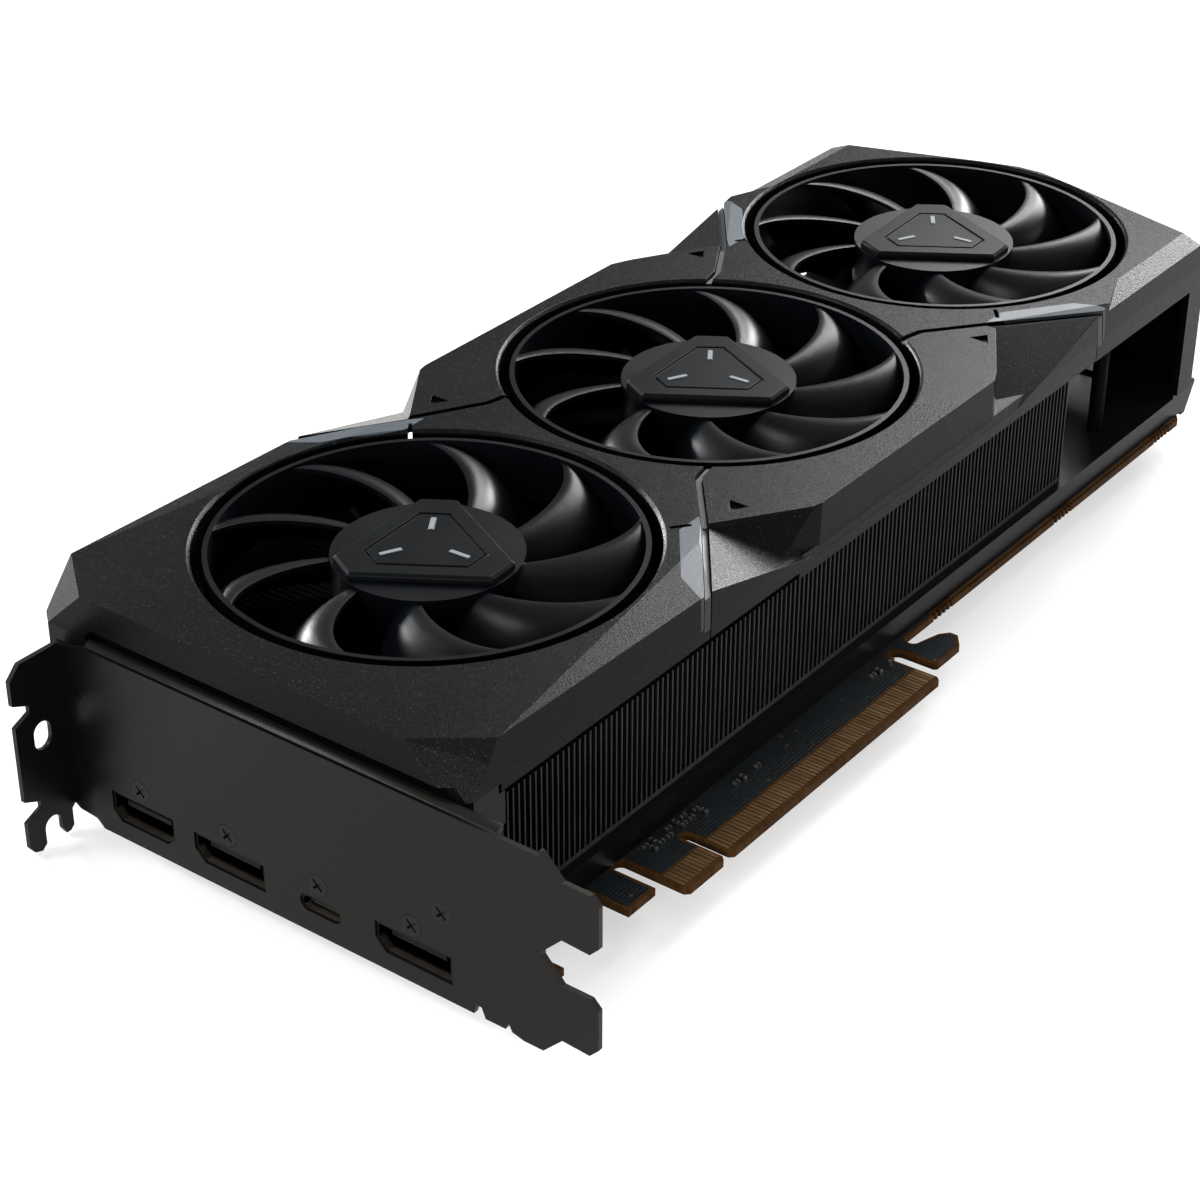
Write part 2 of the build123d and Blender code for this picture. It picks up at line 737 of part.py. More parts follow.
with BuildPart() as header:
    with Locations((header_x, header_y, 0)):
        Box(5.0, 8.0, 3.6, align=(Align.CENTER, Align.CENTER, Align.MIN))
    with Locations((header_x + 2.5, header_y, 2.0)):
        Box(3.4, 6.6, 2.2, mode=Mode.SUBTRACT)

save(header.part, "fan_header")

# ---------------------------------------------------------------- power sockets
socket_xs = [socket_x0 + socket_w / 2 + i * (socket_w + socket_gap) for i in range(2)]
socket_z = socket_h / 2
hole_spots = [
    (x + (i - 1.5) * socket_hole_pitch, socket_z + (j - 0.5) * socket_hole_pitch)
    for x in socket_xs
    for i in range(4)
    for j in range(2)
]

with BuildPart() as sockets:
    for x in socket_xs:
        with Locations((x, socket_face_y - socket_l / 2, socket_z)):
            Box(socket_w, socket_l, socket_h)
        with Locations((x, socket_face_y - 3.0, socket_h + 0.5)):
            Box(4.6, 6.0, 1.0)
    with BuildSketch(Plane.XZ.offset(-socket_face_y)):
        with Locations(*hole_spots):
            Rectangle(socket_hole, socket_hole)
    extrude(amount=socket_hole_depth, mode=Mode.SUBTRACT)

save(sockets.part, "power_sockets")

with BuildPart() as pins:
    with BuildSketch(Plane.XZ.offset(-(socket_face_y - socket_hole_depth))):
        with Locations(*hole_spots):
            Rectangle(1.1, 1.1)
    extrude(amount=-socket_hole_depth + 2.5)

save(pins.part, "power_pins")


# ================================================================ back side
back_low_z = back_top_z - back_t

with BuildPart() as backplate:
    with BuildSketch(Plane.XY.offset(back_low_z)):
        with BuildLine():
            Polyline(
                (back_x0 + 4.0, back_y0),
                (back_x1 - 6.0, back_y0),
                (back_x1, back_y0 + 6.0),
                (back_x1, back_y1 - 6.0),
                (back_x1 - 6.0, back_y1),
                (back_x0 + 4.0, back_y1),
                (back_x0, back_y1 - 4.0),
                (back_x0, back_y0 + 4.0),
                close=True,
            )
        make_face()
        with Locations((gpu_x, gpu_y)):
            Rectangle(back_window, back_window, mode=Mode.SUBTRACT)
        with Locations((tail_x - 37.8, 8.0)):
            with GridLocations(1, 9.0, 1, 5):
                SlotOverall(34.0, 3.0, mode=Mode.SUBTRACT)
        with Locations(*back_screw_spots):
            Circle(back_screw_r + screw_clear, mode=Mode.SUBTRACT)
    extrude(amount=back_t)
    # bosses that stand the plate off the board
    with BuildSketch(Plane.XY.offset(back_top_z)):
        with Locations(*back_screw_spots):
            Circle(back_screw_r + 1.6)
            Circle(back_screw_r + screw_clear, mode=Mode.SUBTRACT)
    extrude(amount=back_gap)

save(backplate.part, "backplate")


def shouldered_screws(spots, head_z, tip_z):
    """Pan-head screws pointing up, with a cross recess."""
    with BuildPart() as screws:
        with BuildSketch(Plane.XY.offset(head_z - 1.4)):
            with Locations(*spots):
                Circle(back_screw_head_r)
        extrude(amount=1.4)
        chamfer(screws.faces().filter_by(Axis.Z).group_by(Axis.Z)[0].edges(), length=0.4)
        with BuildSketch(Plane.XY.offset(head_z)):
            with Locations(*spots):
                Circle(back_screw_r)
        extrude(amount=tip_z - head_z)
        with BuildSketch(Plane.XY.offset(head_z - 1.4)):
            with Locations(*spots):
                Rectangle(2.6, 0.6)
                Rectangle(0.6, 2.6)
        extrude(amount=0.8, mode=Mode.SUBTRACT)
    return screws.part


screw_tip_z = 3.0
save(shouldered_screws(back_screw_spots, back_low_z, screw_tip_z), "backplate_screws")

spring_z = -board_t - 1.2

with BuildPart() as spring:
    with BuildSketch(Plane.XY.offset(spring_z - spring_t)):
        with Locations((gpu_x, gpu_y)):
            RectangleRounded(40.0, 40.0, 3.0)
            Rectangle(spring_pitch * 1.414, 7.0, rotation=45)
            Rectangle(spring_pitch * 1.414, 7.0, rotation=-45)
            RectangleRounded(26.0, 26.0, 2.0, mode=Mode.SUBTRACT)
        with Locations(*spring_spots):
            Circle(4.4)
            Circle(back_screw_r + screw_clear, mode=Mode.SUBTRACT)
    extrude(amount=spring_t)

save(spring.part, "spring_bracket")
save(shouldered_screws(spring_spots, spring_z - spring_t, chamber_z0), "spring_screws")


# ================================================================ plan of the shroud
def plan_low(inset):
    """Shroud plan at and below the shoulder, drawn in by the inset."""
    near = mid_y - half_w
    far = mid_y + half_w
    with BuildSketch(mode=Mode.PRIVATE) as plan:
        with BuildLine():
            Polyline(
                (front_x + corner_foot, near),
                (tail_x, near),
                (tail_x + tail_knee, fan_y - tail_knee_half),
                (tail_x + tail_nose, fan_y - tail_nose_half),
                (tail_x + tail_nose, fan_y + tail_nose_half),
                (tail_x + tail_knee, fan_y + tail_knee_half),
                (tail_x, far),
                (front_x + corner_foot, far),
                (front_x, far - corner_foot),
                (front_x, near + corner_foot),
                close=True,
            )
        make_face()
        if inset:
            offset(amount=-inset, kind=Kind.INTERSECTION, mode=Mode.REPLACE)
    return plan.sketch


def plan_top(inset):
    """Shroud plan at the top surface, drawn in by the inset."""
    near = mid_y - half_w + draft
    far = mid_y + half_w - draft
    nose = tail_x + tail_nose - bulge_lean
    knee = tail_x + tail_knee - bulge_lean
    front = front_x - front_lean
    with BuildSketch(mode=Mode.PRIVATE) as plan:
        with BuildLine():
            Polyline(
                (front + corner_foot, near),
                (tail_x - tail_lean, near),
                (knee, fan_y - tail_knee_half),
                (nose, fan_y - tail_nose_half),
                (nose, fan_y + tail_nose_half),
                (knee, fan_y + tail_knee_half),
                (tail_x - tail_lean, far),
                (front + corner_foot, far),
                (front, far - corner_foot),
                (front, near + corner_foot),
                close=True,
            )
        make_face()
        if inset:
            offset(amount=-inset, kind=Kind.INTERSECTION, mode=Mode.REPLACE)
    return plan.sketch


# ================================================================ cooler
rear_x = fan_xs[2]
post_spots = [
    (rear_x + 4.0, fan_y - 42.1),
    (rear_x - 18.6, fan_y - 12.1),
    (rear_x + 24.4, fan_y - 33.1),
    (rear_x + 25.2, fan_y + 31.9),
    (rear_x - 19.6, fan_y + 37.9),
]

with BuildPart() as frame:
    with BuildSketch(Plane.XY.offset(frame_floor_z)):
        with Locations(((fin_x0 + frame_x1) / 2, (rail_low_y + rail_high_y) / 2)):
            Rectangle(frame_x1 - fin_x0, rail_high_y - rail_low_y)
        with Locations(((chamber_x0 + chamber_x1) / 2, (chamber_y0 + chamber_y1) / 2)):
            Rectangle(chamber_x1 - chamber_x0, chamber_y1 - chamber_y0, mode=Mode.SUBTRACT)
    extrude(amount=frame_floor_t)
    # side rails
    with BuildSketch():
        for y in (rail_low_y + rail_t / 2, rail_high_y - rail_t / 2):
            with Locations(((frame_x0 + frame_x1) / 2, y)):
                Rectangle(frame_x1 - frame_x0, rail_t)
    extrude(amount=floor_top_z)
    # screw bosses
    with BuildSketch():
        with Locations(*back_screw_spots):
            Circle(2.6)
            Circle(back_screw_r + screw_clear, mode=Mode.SUBTRACT)
    extrude(amount=frame_floor_z)
    # tail bar with its sloped foot
    with BuildSketch(Plane.XZ.offset(-rail_high_y)):
        with BuildLine():
            Polyline(
                (frame_x1, frame_floor_z),
                (frame_x1, tail_foot_z),
                (tail_foot_x, tail_foot_z),
                (tail_bar_x, post_low_z - 0.8),
                (tail_bar_x, post_low_z),
                (post_x, post_low_z),
                (post_x, frame_floor_z),
                close=True,
            )
        make_face()
    extrude(amount=rail_high_y - rail_low_y)
    # clearance around the power sockets
    with Locations((socket_x0 - 0.8, socket_face_y - socket_l - 0.8, 0)):
        Box(
            2 * socket_w + socket_gap + 1.6,
            socket_l + 4.0,
            12.0,
            align=(Align.MIN, Align.MIN, Align.MIN),
            mode=Mode.SUBTRACT,
        )
    near_edges = frame.edges().filter_by(Axis.X).group_by(Axis.Y)[0]
    chamfer(near_edges.group_by(Axis.Z)[-1], length=0.4)

save(frame.part, "cooler_frame")

with BuildPart() as chamber:
    with BuildSketch(Plane.XY.offset(chamber_z0)):
        with Locations(((chamber_x0 + chamber_x1) / 2, (chamber_y0 + chamber_y1) / 2)):
            RectangleRounded(chamber_x1 - chamber_x0 - 0.4, chamber_y1 - chamber_y0 - 0.4, 3.0)
    extrude(amount=floor_top_z - chamber_z0)

save(chamber.part, "vapour_chamber")

fin_count = int((fin_x1 - fin_x0 - fin_t) / fin_pitch) + 1
fin_top_z = deck_z
fin_last = fin_x0 + (fin_count - 1) * fin_pitch + fin_t


def fin_comb():
    """Section of the fins and their base, in (X, Z)."""
    points = [(fin_x0, floor_top_z), (fin_last, floor_top_z)]
    for i in reversed(range(fin_count)):
        x = fin_x0 + i * fin_pitch
        if i < fin_count - 1:
            points.append((x + fin_t, fin_z0))
        points.append((x + fin_t, fin_top_z))
        points.append((x, fin_top_z))
        if i > 0:
            points.append((x, fin_z0))
    return points


with BuildPart() as fins:
    with BuildSketch(Plane.XZ.offset(-fin_high_y)):
        with BuildLine():
            Polyline(*fin_comb(), close=True)
        make_face()
    extrude(amount=fin_high_y - fin_low_y)

save(fins.part, "fin_stack")

plate_y0, plate_y1 = rail_low_y + 0.2, rail_high_y - 0.2
ear_out_low, ear_out_high = near_y + 3.2, far_y - 3.2
ear_in = 17.4

block_y0 = mid_y - half_w + block_gap + 1.0
block_y1 = mid_y + half_w - block_gap - 1.0
block_top_z = front_edge_z - block_gap
block_outer = plan_low(block_gap)
block_inner = plan_low(block_gap + front_block_w)

with BuildPart() as end_plate:
    with BuildSketch(Plane.YZ.offset(end_plate_x)):
        with BuildLine():
            Polyline(
                (plate_y0, floor_top_z),
                (plate_y0 + 1.2, floor_top_z),
                (plate_y0 + 1.2, fin_z0),
                (plate_y1 - 1.2, fin_z0),
                (plate_y1 - 1.2, floor_top_z),
                (plate_y1, floor_top_z),
                (plate_y1, front_block_z),
                (block_y1, front_block_z),
                (block_y1, skirt_z + 0.9),
                (ear_out_high, skirt_z + 0.9),
                (ear_out_high, under_top_z),
                (fan_y + ear_in, under_top_z),
                (fan_y + ear_in, fin_top_z - 0.3),
                (fan_y - ear_in, fin_top_z - 0.3),
                (fan_y - ear_in, under_top_z),
                (ear_out_low, under_top_z),
                (ear_out_low, skirt_z + 0.9),
                (block_y0, skirt_z + 0.9),
                (block_y0, front_block_z),
                (plate_y0, front_block_z),
                close=True,
            )
        make_face()
    extrude(amount=end_plate_t)
    # block under the front of the shroud, open towards the fins
    with BuildSketch(Plane.XY.offset(front_block_z)):
        add(block_outer)
        add(block_inner, mode=Mode.SUBTRACT)
        with Locations((end_plate_x + end_plate_t, mid_y)):
            Rectangle(400, 200, align=(Align.MIN, Align.CENTER), mode=Mode.SUBTRACT)
    extrude(amount=skirt_z + 0.9 - front_block_z)
    with BuildSketch(Plane.XY.offset(skirt_z)):
        add(block_outer)
        add(block_inner, mode=Mode.SUBTRACT)
        with Locations((front_edge_x - 0.4, mid_y)):
            Rectangle(400, 200, align=(Align.MIN, Align.CENTER), mode=Mode.SUBTRACT)
    extrude(amount=block_top_z - skirt_z)
    # room for the bracket's hem
    with Locations((0, hem_far_y + 0.5, hem_top_z - hem_r - 0.8)):
        Box(hem_r + 0.4, 120, 20, align=(Align.MIN, Align.MAX, Align.MIN), mode=Mode.SUBTRACT)

save(end_plate.part, "front_end_plate")


# ================================================================ fan deck
ring_r = opening_r + duct_t - 0.1
strut_in = motor_plate_r - 1.0

with BuildPart() as deck:
    with BuildSketch(Plane.XY.offset(deck_z)):
        for x in fan_xs:
            with Locations((x, fan_y)):
                Circle(ring_r)
                Circle(ring_r - deck_ring_w, mode=Mode.SUBTRACT)
        for x in fan_xs:
            with Locations((x, fan_y)):
                Circle(motor_plate_r)
                with PolarLocations((strut_in + ring_r - 1.0) / 2, strut_count, start_angle=60):
                    Rectangle(ring_r - 1.0 - strut_in, strut_w)
        for x in fan_xs[:2]:
            with Locations((x + fan_pitch / 2, fan_y)):
                Rectangle(4.0, 24.0)
        for x in fan_xs:
            with Locations((x, fan_y)):
                Circle(1.0, mode=Mode.SUBTRACT)
    extrude(amount=deck_t)
    # posts that stand on the frame where there are no fins
    with BuildSketch(Plane.XY.offset(floor_top_z)):
        with Locations(*post_spots):
            Circle(post_r)
    extrude(amount=deck_top_z - floor_top_z)
    # arms from the posts to the rear ring
    with BuildSketch(Plane.XY.offset(deck_z)):
        for x, y in post_spots:
            dx, dy = x - fan_xs[2], y - fan_y
            reach = hypot(dx, dy)
            mid = (reach + ring_r - 1.0) / 2
            with Locations((fan_xs[2] + dx / reach * mid, fan_y + dy / reach * mid)):
                Rectangle(abs(reach - ring_r) + 2.0, 3.0, rotation=degrees(atan2(dy, dx)))
    extrude(amount=deck_t)

save(deck.part, "fan_deck")


# ================================================================ shroud
def shroud_hull(inset, low, high):
    """Upright skirt below the shoulder and leaning walls above it."""
    lower, upper = plan_low(inset), plan_top(inset)
    with BuildPart(mode=Mode.PRIVATE) as hull:
        with BuildSketch(Plane.XY.offset(low)):
            add(lower)
        extrude(amount=shoulder_z - low)
        with BuildSketch(Plane.XY.offset(shoulder_z)):
            add(lower)
        with BuildSketch(Plane.XY.offset(high)):
            add(upper)
        loft(ruled=True)
    return hull.part


def ramp_cut(drop):
    """Space above the ramps and ledge beside the middle fan, on the near side."""
    low = ledge_z - drop
    with BuildPart(mode=Mode.PRIVATE) as space:
        with Locations((mid_x, mid_y - 32.0, low)):
            Box(160, 64, 20, align=(Align.CENTER, Align.CENTER, Align.MIN))
        with BuildSketch(Plane.YZ.offset(mid_x - 80)):
            with BuildLine():
                y = mid_y - ledge_in
                Polyline((y, low), (y - 8, low - 8 * ledge_slope), (y - 8, low), close=True)
            make_face()
        extrude(amount=160)
        for side in (-1, 1):
            point = (mid_x + side * ramp_x, mid_y - ramp_y, ramp_z - drop)
            up = (-side * ramp_slope_x, -ramp_slope_y, 1)
            split(bisect_by=Plane(point, z_dir=up), keep=Keep.TOP)
    return space.part


def corner_cut(drop):
    """Space outside the slanted facet of the near front corner."""
    near = mid_y - half_w
    on_front = Vector(front_x - front_lean, near + corner_top, top_z)
    on_side = Vector(corner_x, near + draft, top_z)
    foot = Vector(front_x + corner_foot / 2, near + corner_foot / 2, corner_foot_z)
    normal = (on_front - on_side).cross(foot - on_side).normalized()
    with BuildPart(mode=Mode.PRIVATE) as space:
        with Locations((front_x - 6.0, near - 6.0, skirt_z - 4.0)):
            Box(30, 30, 20, align=(Align.MIN, Align.MIN, Align.MIN))
        split(bisect_by=Plane(foot - normal * drop, z_dir=normal), keep=Keep.TOP)
    return space.part


def wing_plan(front, rear):
    """Plan of the wings' top or foot, from the middle of the near side."""
    points = [(mid_x - dx, mid_y - dy) for dx, dy in front]
    points += [(mid_x + dx, mid_y - dy) for dx, dy in reversed(rear)]
    points += [(points[-1][0], mid_y + 1.0), (points[0][0], mid_y + 1.0)]
    return points


def wing(inset, top):
    """Raised wing beside the middle fan, on the near side."""
    foot = wing_plan(wing_front_low, wing_rear_low)
    crown = wing_plan(wing_front_top, wing_rear_top)
    with BuildPart(mode=Mode.PRIVATE) as solid:
        for z, points in ((wing_low_z, foot), (top, crown)):
            with BuildSketch(Plane.XY.offset(z)):
                with BuildLine():
                    Polyline(*points, close=True)
                make_face()
                if inset:
                    offset(amount=-inset, kind=Kind.INTERSECTION, mode=Mode.REPLACE)
        loft(ruled=True)
        if inset:
            with BuildSketch(Plane.XY.offset(wing_low_z)):
                with BuildLine():
                    Polyline(*foot, close=True)
                make_face()
                offset(amount=-inset, kind=Kind.INTERSECTION, mode=Mode.REPLACE)
            extrude(amount=skirt_z - 1.0 - wing_low_z)
    return solid.part


def both_sides(part):
    """The part together with its mirror image across the centre line."""
    with BuildPart(mode=Mode.PRIVATE) as pair:
        add(part)
        add(part.mirror(Plane.XZ.offset(-mid_y)))
    return pair.part


def facet_cuts():
    """Shallow facets along the near upper edge, ahead of and behind the wing."""
    with BuildPart(mode=Mode.PRIVATE) as cuts:
        with Locations((corner_x + 0.5, mid_y - half_w - 2.0, top_z - 4.0)):
            Box(75, 24, 8, align=(Align.MIN, Align.MIN, Align.MIN))
        point = (corner_x + 0.5, mid_y - half_w + draft, top_z)
        split(bisect_by=Plane(point, z_dir=(facet_slope_x, -facet_slope_y, 1)), keep=Keep.TOP)
    with BuildPart(mode=Mode.PRIVATE) as tail:
        inner = mid_y - half_w + draft + facet_w
        with BuildSketch(Plane.XY.offset(top_z - 4.0)):
            with BuildLine():
                Polyline(
                    (mid_x + facet_x, inner + 1.0),
                    (mid_x + facet_x, inner),
                    (mid_x + facet_x - facet_run, inner - facet_w),
                    (mid_x + facet_x - facet_run - 5.0, inner - facet_w - 2.0),
                    (300, inner - facet_w - 2.0),
                    (300, inner + 1.0),
                    close=True,
                )
            make_face()
        extrude(amount=8)
        split(bisect_by=Plane((mid_x, inner, top_z), z_dir=(0, -facet_slope, 1)), keep=Keep.TOP)
    with BuildPart(mode=Mode.PRIVATE) as all_cuts:
        add(cuts.part)
        add(tail.part)
    return all_cuts.part


hull = shroud_hull(0, skirt_z, top_z)
cavity = shroud_hull(wall_t, skirt_z - 1.0, under_top_z)
outer_cut = both_sides(ramp_cut(0))
inner_cut = both_sides(ramp_cut(cut_drop))
outer_corners = both_sides(corner_cut(0))
inner_corners = both_sides(corner_cut(wall_t))
outer_wings = both_sides(wing(0, top_z))
inner_wings = both_sides(wing(wall_t, under_top_z))
edge_facets = both_sides(facet_cuts())
wall_outer, wall_inner = plan_low(0), plan_low(wall_t)
far_wall_x = mid_x + seam_out[0] + 1.5

with BuildPart() as inside:
    add(cavity)
    add(inner_corners, mode=Mode.SUBTRACT)
    add(inner_cut, mode=Mode.SUBTRACT)
    add(inner_wings)

with BuildPart() as outside:
    add(hull)
    add(outer_corners, mode=Mode.SUBTRACT)
    add(outer_cut, mode=Mode.SUBTRACT)
    add(outer_wings)
    add(edge_facets, mode=Mode.SUBTRACT)

with BuildPart() as shell:
    add(outside.part)
    add(inside.part, mode=Mode.SUBTRACT)
    # ducts around the fans
    with BuildSketch(Plane.XY.offset(deck_top_z)):
        with Locations(*[(x, fan_y) for x in fan_xs]):
            Circle(opening_r + duct_t)
    extrude(amount=under_top_z + 0.3 - deck_top_z)
    # tail wall and posts, standing on the frame
    with BuildSketch(Plane.XY.offset(post_low_z)):
        add(wall_outer)
        add(wall_inner, mode=Mode.SUBTRACT)
        with Locations((post_x, mid_y)):
            Rectangle(400, 200, align=(Align.MAX, Align.CENTER), mode=Mode.SUBTRACT)
    extrude(amount=skirt_z - post_low_z)
    with BuildSketch(Plane.YZ.offset(post_x)):
        with Locations((fan_y, (post_low_z + deck_z) / 2)):
            with GridLocations(vent_pitch, 1, vent_count, 1):
                SlotOverall(vent_h, vent_w, rotation=90)
    extrude(amount=30, mode=Mode.SUBTRACT)
    # far wall, cut out around the power sockets
    with Locations((far_wall_x, mid_y + half_w, post_low_z)):
        Box(
            post_x + 1.0 - far_wall_x,
            wall_t,
            skirt_z + 1.0 - post_low_z,
            align=(Align.MIN, Align.MAX, Align.MIN),
        )
    with Locations((socket_x0 - 1.0, mid_y + half_w, 0)):
        Box(
            2 * socket_w + socket_gap + 2.0,
            8.0,
            socket_h + 2.2,
            align=(Align.MIN, Align.CENTER, Align.MIN),
            mode=Mode.SUBTRACT,
        )
    # openings
    with BuildSketch(Plane.XY.offset(deck_top_z - 1.0)):
        with Locations(*[(x, fan_y) for x in fan_xs]):
            Circle(opening_r)
    extrude(amount=top_z + 2.0 - deck_top_z, mode=Mode.SUBTRACT)
    with BuildSketch(Plane.XY.offset(top_z)):
        with Locations(*[(x, fan_y) for x in fan_xs]):
            Circle(opening_r + rim_bevel)
    extrude(amount=-rim_bevel, taper=45, mode=Mode.SUBTRACT)
    # the lower edge rises towards the bracket, and again over its hem
    for x, z in ((step_x, skirt_z + skirt_step), (front_edge_x, front_edge_z)):
        for side in (-1, 1):
            with Locations((x, mid_y + side * half_w, z)):
                Box(120, 12, 10, align=(Align.MAX, Align.CENTER, Align.MAX), mode=Mode.SUBTRACT)
    with Locations((front_edge_x, mid_y, front_edge_z)):
        Box(20, 140, 10, align=(Align.MAX, Align.CENTER, Align.MAX), mode=Mode.SUBTRACT)
    with BuildSketch(Plane.YZ.offset(-1)):
        with BuildLine():
            Polyline(
                (mid_y - 70.0, front_edge_z - 2.0),
                (mid_y - 70.0, hem_gap_z),
                (hem_gap_y - 0.6, hem_gap_z),
                (hem_gap_y + 1.2, front_edge_z),
                (hem_gap_y + 1.2, front_edge_z - 2.0),
                close=True,
            )
        make_face()
    extrude(amount=hem_gap_x + 1, mode=Mode.SUBTRACT)


def seam_zone(grow):
    """Both wing panels' plans, bounded by the seams, as upright prisms."""
    run_x = seam_out[0] - seam_bend[0]
    run_y = seam_out[1] - seam_bend[1]
    with BuildPart(mode=Mode.PRIVATE) as zone:
        for side in (-1, 1):
            corners = [(dx, fan_y + side * dy) for dx, dy in (seam_in, seam_elbow)]
            corners += [(dx, mid_y + side * dy) for dx, dy in (seam_bend, seam_out)]
            corners.append((seam_out[0] + run_x, mid_y + side * (seam_out[1] + run_y)))
            points = [(mid_x - dx, y) for dx, y in corners] + [(mid_x + dx, y) for dx, y in reversed(corners)]
            with BuildSketch():
                with BuildLine():
                    Polyline(*points, close=True)
                make_face()
                if grow:
                    offset(amount=grow, kind=Kind.INTERSECTION, mode=Mode.REPLACE)
            extrude(amount=top_z + 6.0)
    return zone.part


def four_prisms(points):
    """The same plan shape in all four quadrants around the middle fan."""
    with BuildPart(mode=Mode.PRIVATE) as prisms:
        with BuildSketch():
            for sx in (-1, 1):
                for sy in (-1, 1):
                    with BuildLine():
                        Polyline(*[(mid_x + sx * dx, mid_y + sy * dy) for dx, dy in points], close=True)
                    make_face()
        extrude(amount=top_z + 6.0)
    return prisms.part


def lowered(part, depth):
    """The part moved straight down."""
    return part.moved(Location((0, 0, -depth)))


groove_half_w = strip_w / 2 + strip_gap
panel_zone = seam_zone(-groove_half_w)
strip_in = seam_zone(-strip_w / 2)
strip_out = seam_zone(strip_w / 2)
groove_out = seam_zone(groove_half_w)
mark_prisms = four_prisms(mark_points)
inlay_prisms = four_prisms(inlay_points)

with BuildPart() as slots:
    with BuildSketch(Plane.XY.offset(skirt_z)):
        for sx in (-1, 1):
            for sy in (-1, 1):
                with Locations((mid_x + sx * slot_spot[0], mid_y + sy * slot_spot[1])):
                    SlotOverall(slot_l, slot_w, rotation=-sx * sy * slot_turn)
    extrude(amount=top_z + 2.0 - skirt_z)

with BuildPart() as marks:
    add(shell.part)
    add(mark_prisms, mode=Mode.INTERSECT)
    add(lowered(shell.part, mark_depth), mode=Mode.SUBTRACT)

with BuildPart() as accent:
    add(shell.part)
    add(strip_out, mode=Mode.INTERSECT)
    add(strip_in, mode=Mode.SUBTRACT)
    add(lowered(outside.part, strip_drop), mode=Mode.INTERSECT)
    add(lowered(outside.part, strip_depth), mode=Mode.SUBTRACT)

save(accent.part, "accent_strips")

with BuildPart() as wings:
    add(shell.part)
    add(panel_zone, mode=Mode.INTERSECT)
    add(marks.part, mode=Mode.SUBTRACT)

near_wing, far_wing = wings.solids().sort_by(Axis.Y)
save(near_wing, "wing_panel_near")
save(far_wing, "wing_panel_far")

with BuildPart() as groove:
    add(groove_out)
    add(lowered(outside.part, strip_depth), mode=Mode.SUBTRACT)

with BuildPart() as ends:
    add(shell.part)
    add(strip_in, mode=Mode.SUBTRACT)
    add(groove.part, mode=Mode.SUBTRACT)
    add(slots.part, mode=Mode.SUBTRACT)

with BuildPart() as inlays:
    add(ends.part)
    add(inlay_prisms, mode=Mode.INTERSECT)
    add(lowered(shell.part, inlay_t), mode=Mode.SUBTRACT)

save(inlays.part, "inlay_plates")

with BuildPart() as end_panels:
    add(ends.part)
    add(inlays.part, mode=Mode.SUBTRACT)

front_panel, rear_panel = end_panels.solids().sort_by(Axis.X)
save(front_panel, "shroud_front")
save(rear_panel, "shroud_rear")


# ================================================================ fans
def turned(radius, angle):
    """Point at a radius and an angle in degrees."""
    return (radius * cos(radians(angle)), radius * sin(radians(angle)))


def blade_section(radius, along):
    """Plane and outline of one blade section, tangent to the given radius."""
    share = (rim_r - radius) / (rim_r - hub_r)
    lead = blade_turn - blade_sweep * ((rim_r - radius) / 24.6) ** 0.7
    middle = lead - blade_span / 2
    lead_z = rim_top_z - tip_drop + (hub_top_z - root_drop - rim_top_z + tip_drop) * share
    rise = tip_rise + (root_rise - tip_rise) * share
    chord = 2 * radius * sin(radians(blade_span / 2))
    origin = (*turned(radius * cos(radians(blade_span / 2)), middle), 0)
    normal = (*turned(1, middle), 0)
    plane = Plane(origin, x_dir=(*turned(1, middle - 90), 0), z_dir=normal)
    upper = [((s - 0.5) * chord, -rise * s ** blade_camber) for s in along]
    points = []
    for i, (u, w) in enumerate(upper):
        slope = blade_camber * rise * along[i] ** (blade_camber - 1) / chord
        length = hypot(1, slope)
        points.append((u, w, slope / length, 1 / length))
    return plane, points, lead_z


rim_cut_r = rim_r - 0.35
blade_radii = [hub_r - 0.9, 23.0, 29.0, 34.5, rim_r]
blade_steps = [0.0, 0.3, 0.55, 0.8, 1.0]

with BuildPart() as blade:
    for radius in blade_radii:
        plane, points, lead_z = blade_section(radius, blade_steps)
        up = 1 if plane.y_dir.Z > 0 else -1
        top_line = [(u, up * (lead_z + w)) for u, w, nx, ny in points]
        low_line = [
            (u - blade_t * nx * (1 - 0.35 * s), up * (lead_z + w - blade_t * ny * (1 - 0.35 * s)))
            for (u, w, nx, ny), s in zip(points, blade_steps)
        ]
        with BuildSketch(plane):
            with BuildLine():
                Spline(*top_line)
                Line(top_line[-1], low_line[-1])
                Spline(*reversed(low_line))
                Line(low_line[0], top_line[0])
            make_face()
    loft()
    with BuildSketch(Plane.XY):
        Circle(rim_cut_r)
        Circle(hub_r - 0.6, mode=Mode.SUBTRACT)
    extrude(amount=60, mode=Mode.INTERSECT)


hub_low_z = hub_top_z - hub_h
ceiling_z = hub_top_z - hub_wall

with BuildPart() as rotor:
    with BuildSketch(Plane.XY.offset(rim_low_z)):
        Circle(rim_r)
        Circle(rim_r - rim_t, mode=Mode.SUBTRACT)
    extrude(amount=rim_h)
    with BuildSketch(Plane.XY.offset(hub_low_z)):
        Circle(hub_r)
    extrude(amount=hub_h)
    with PolarLocations(0, blade_count):
        add(blade.part)
    with BuildSketch(Plane.XY.offset(hub_low_z)):
        Circle(hub_r - hub_wall)
    extrude(amount=ceiling_z - hub_low_z, mode=Mode.SUBTRACT)


def hexagon(radius, half):
    """Triangle with cut corners, as a sketch outline."""
    points = []
    for i in range(3):
        for turn in (-half, half):
            points.append(turned(radius, cap_turn + 120 * i + turn))
    return points


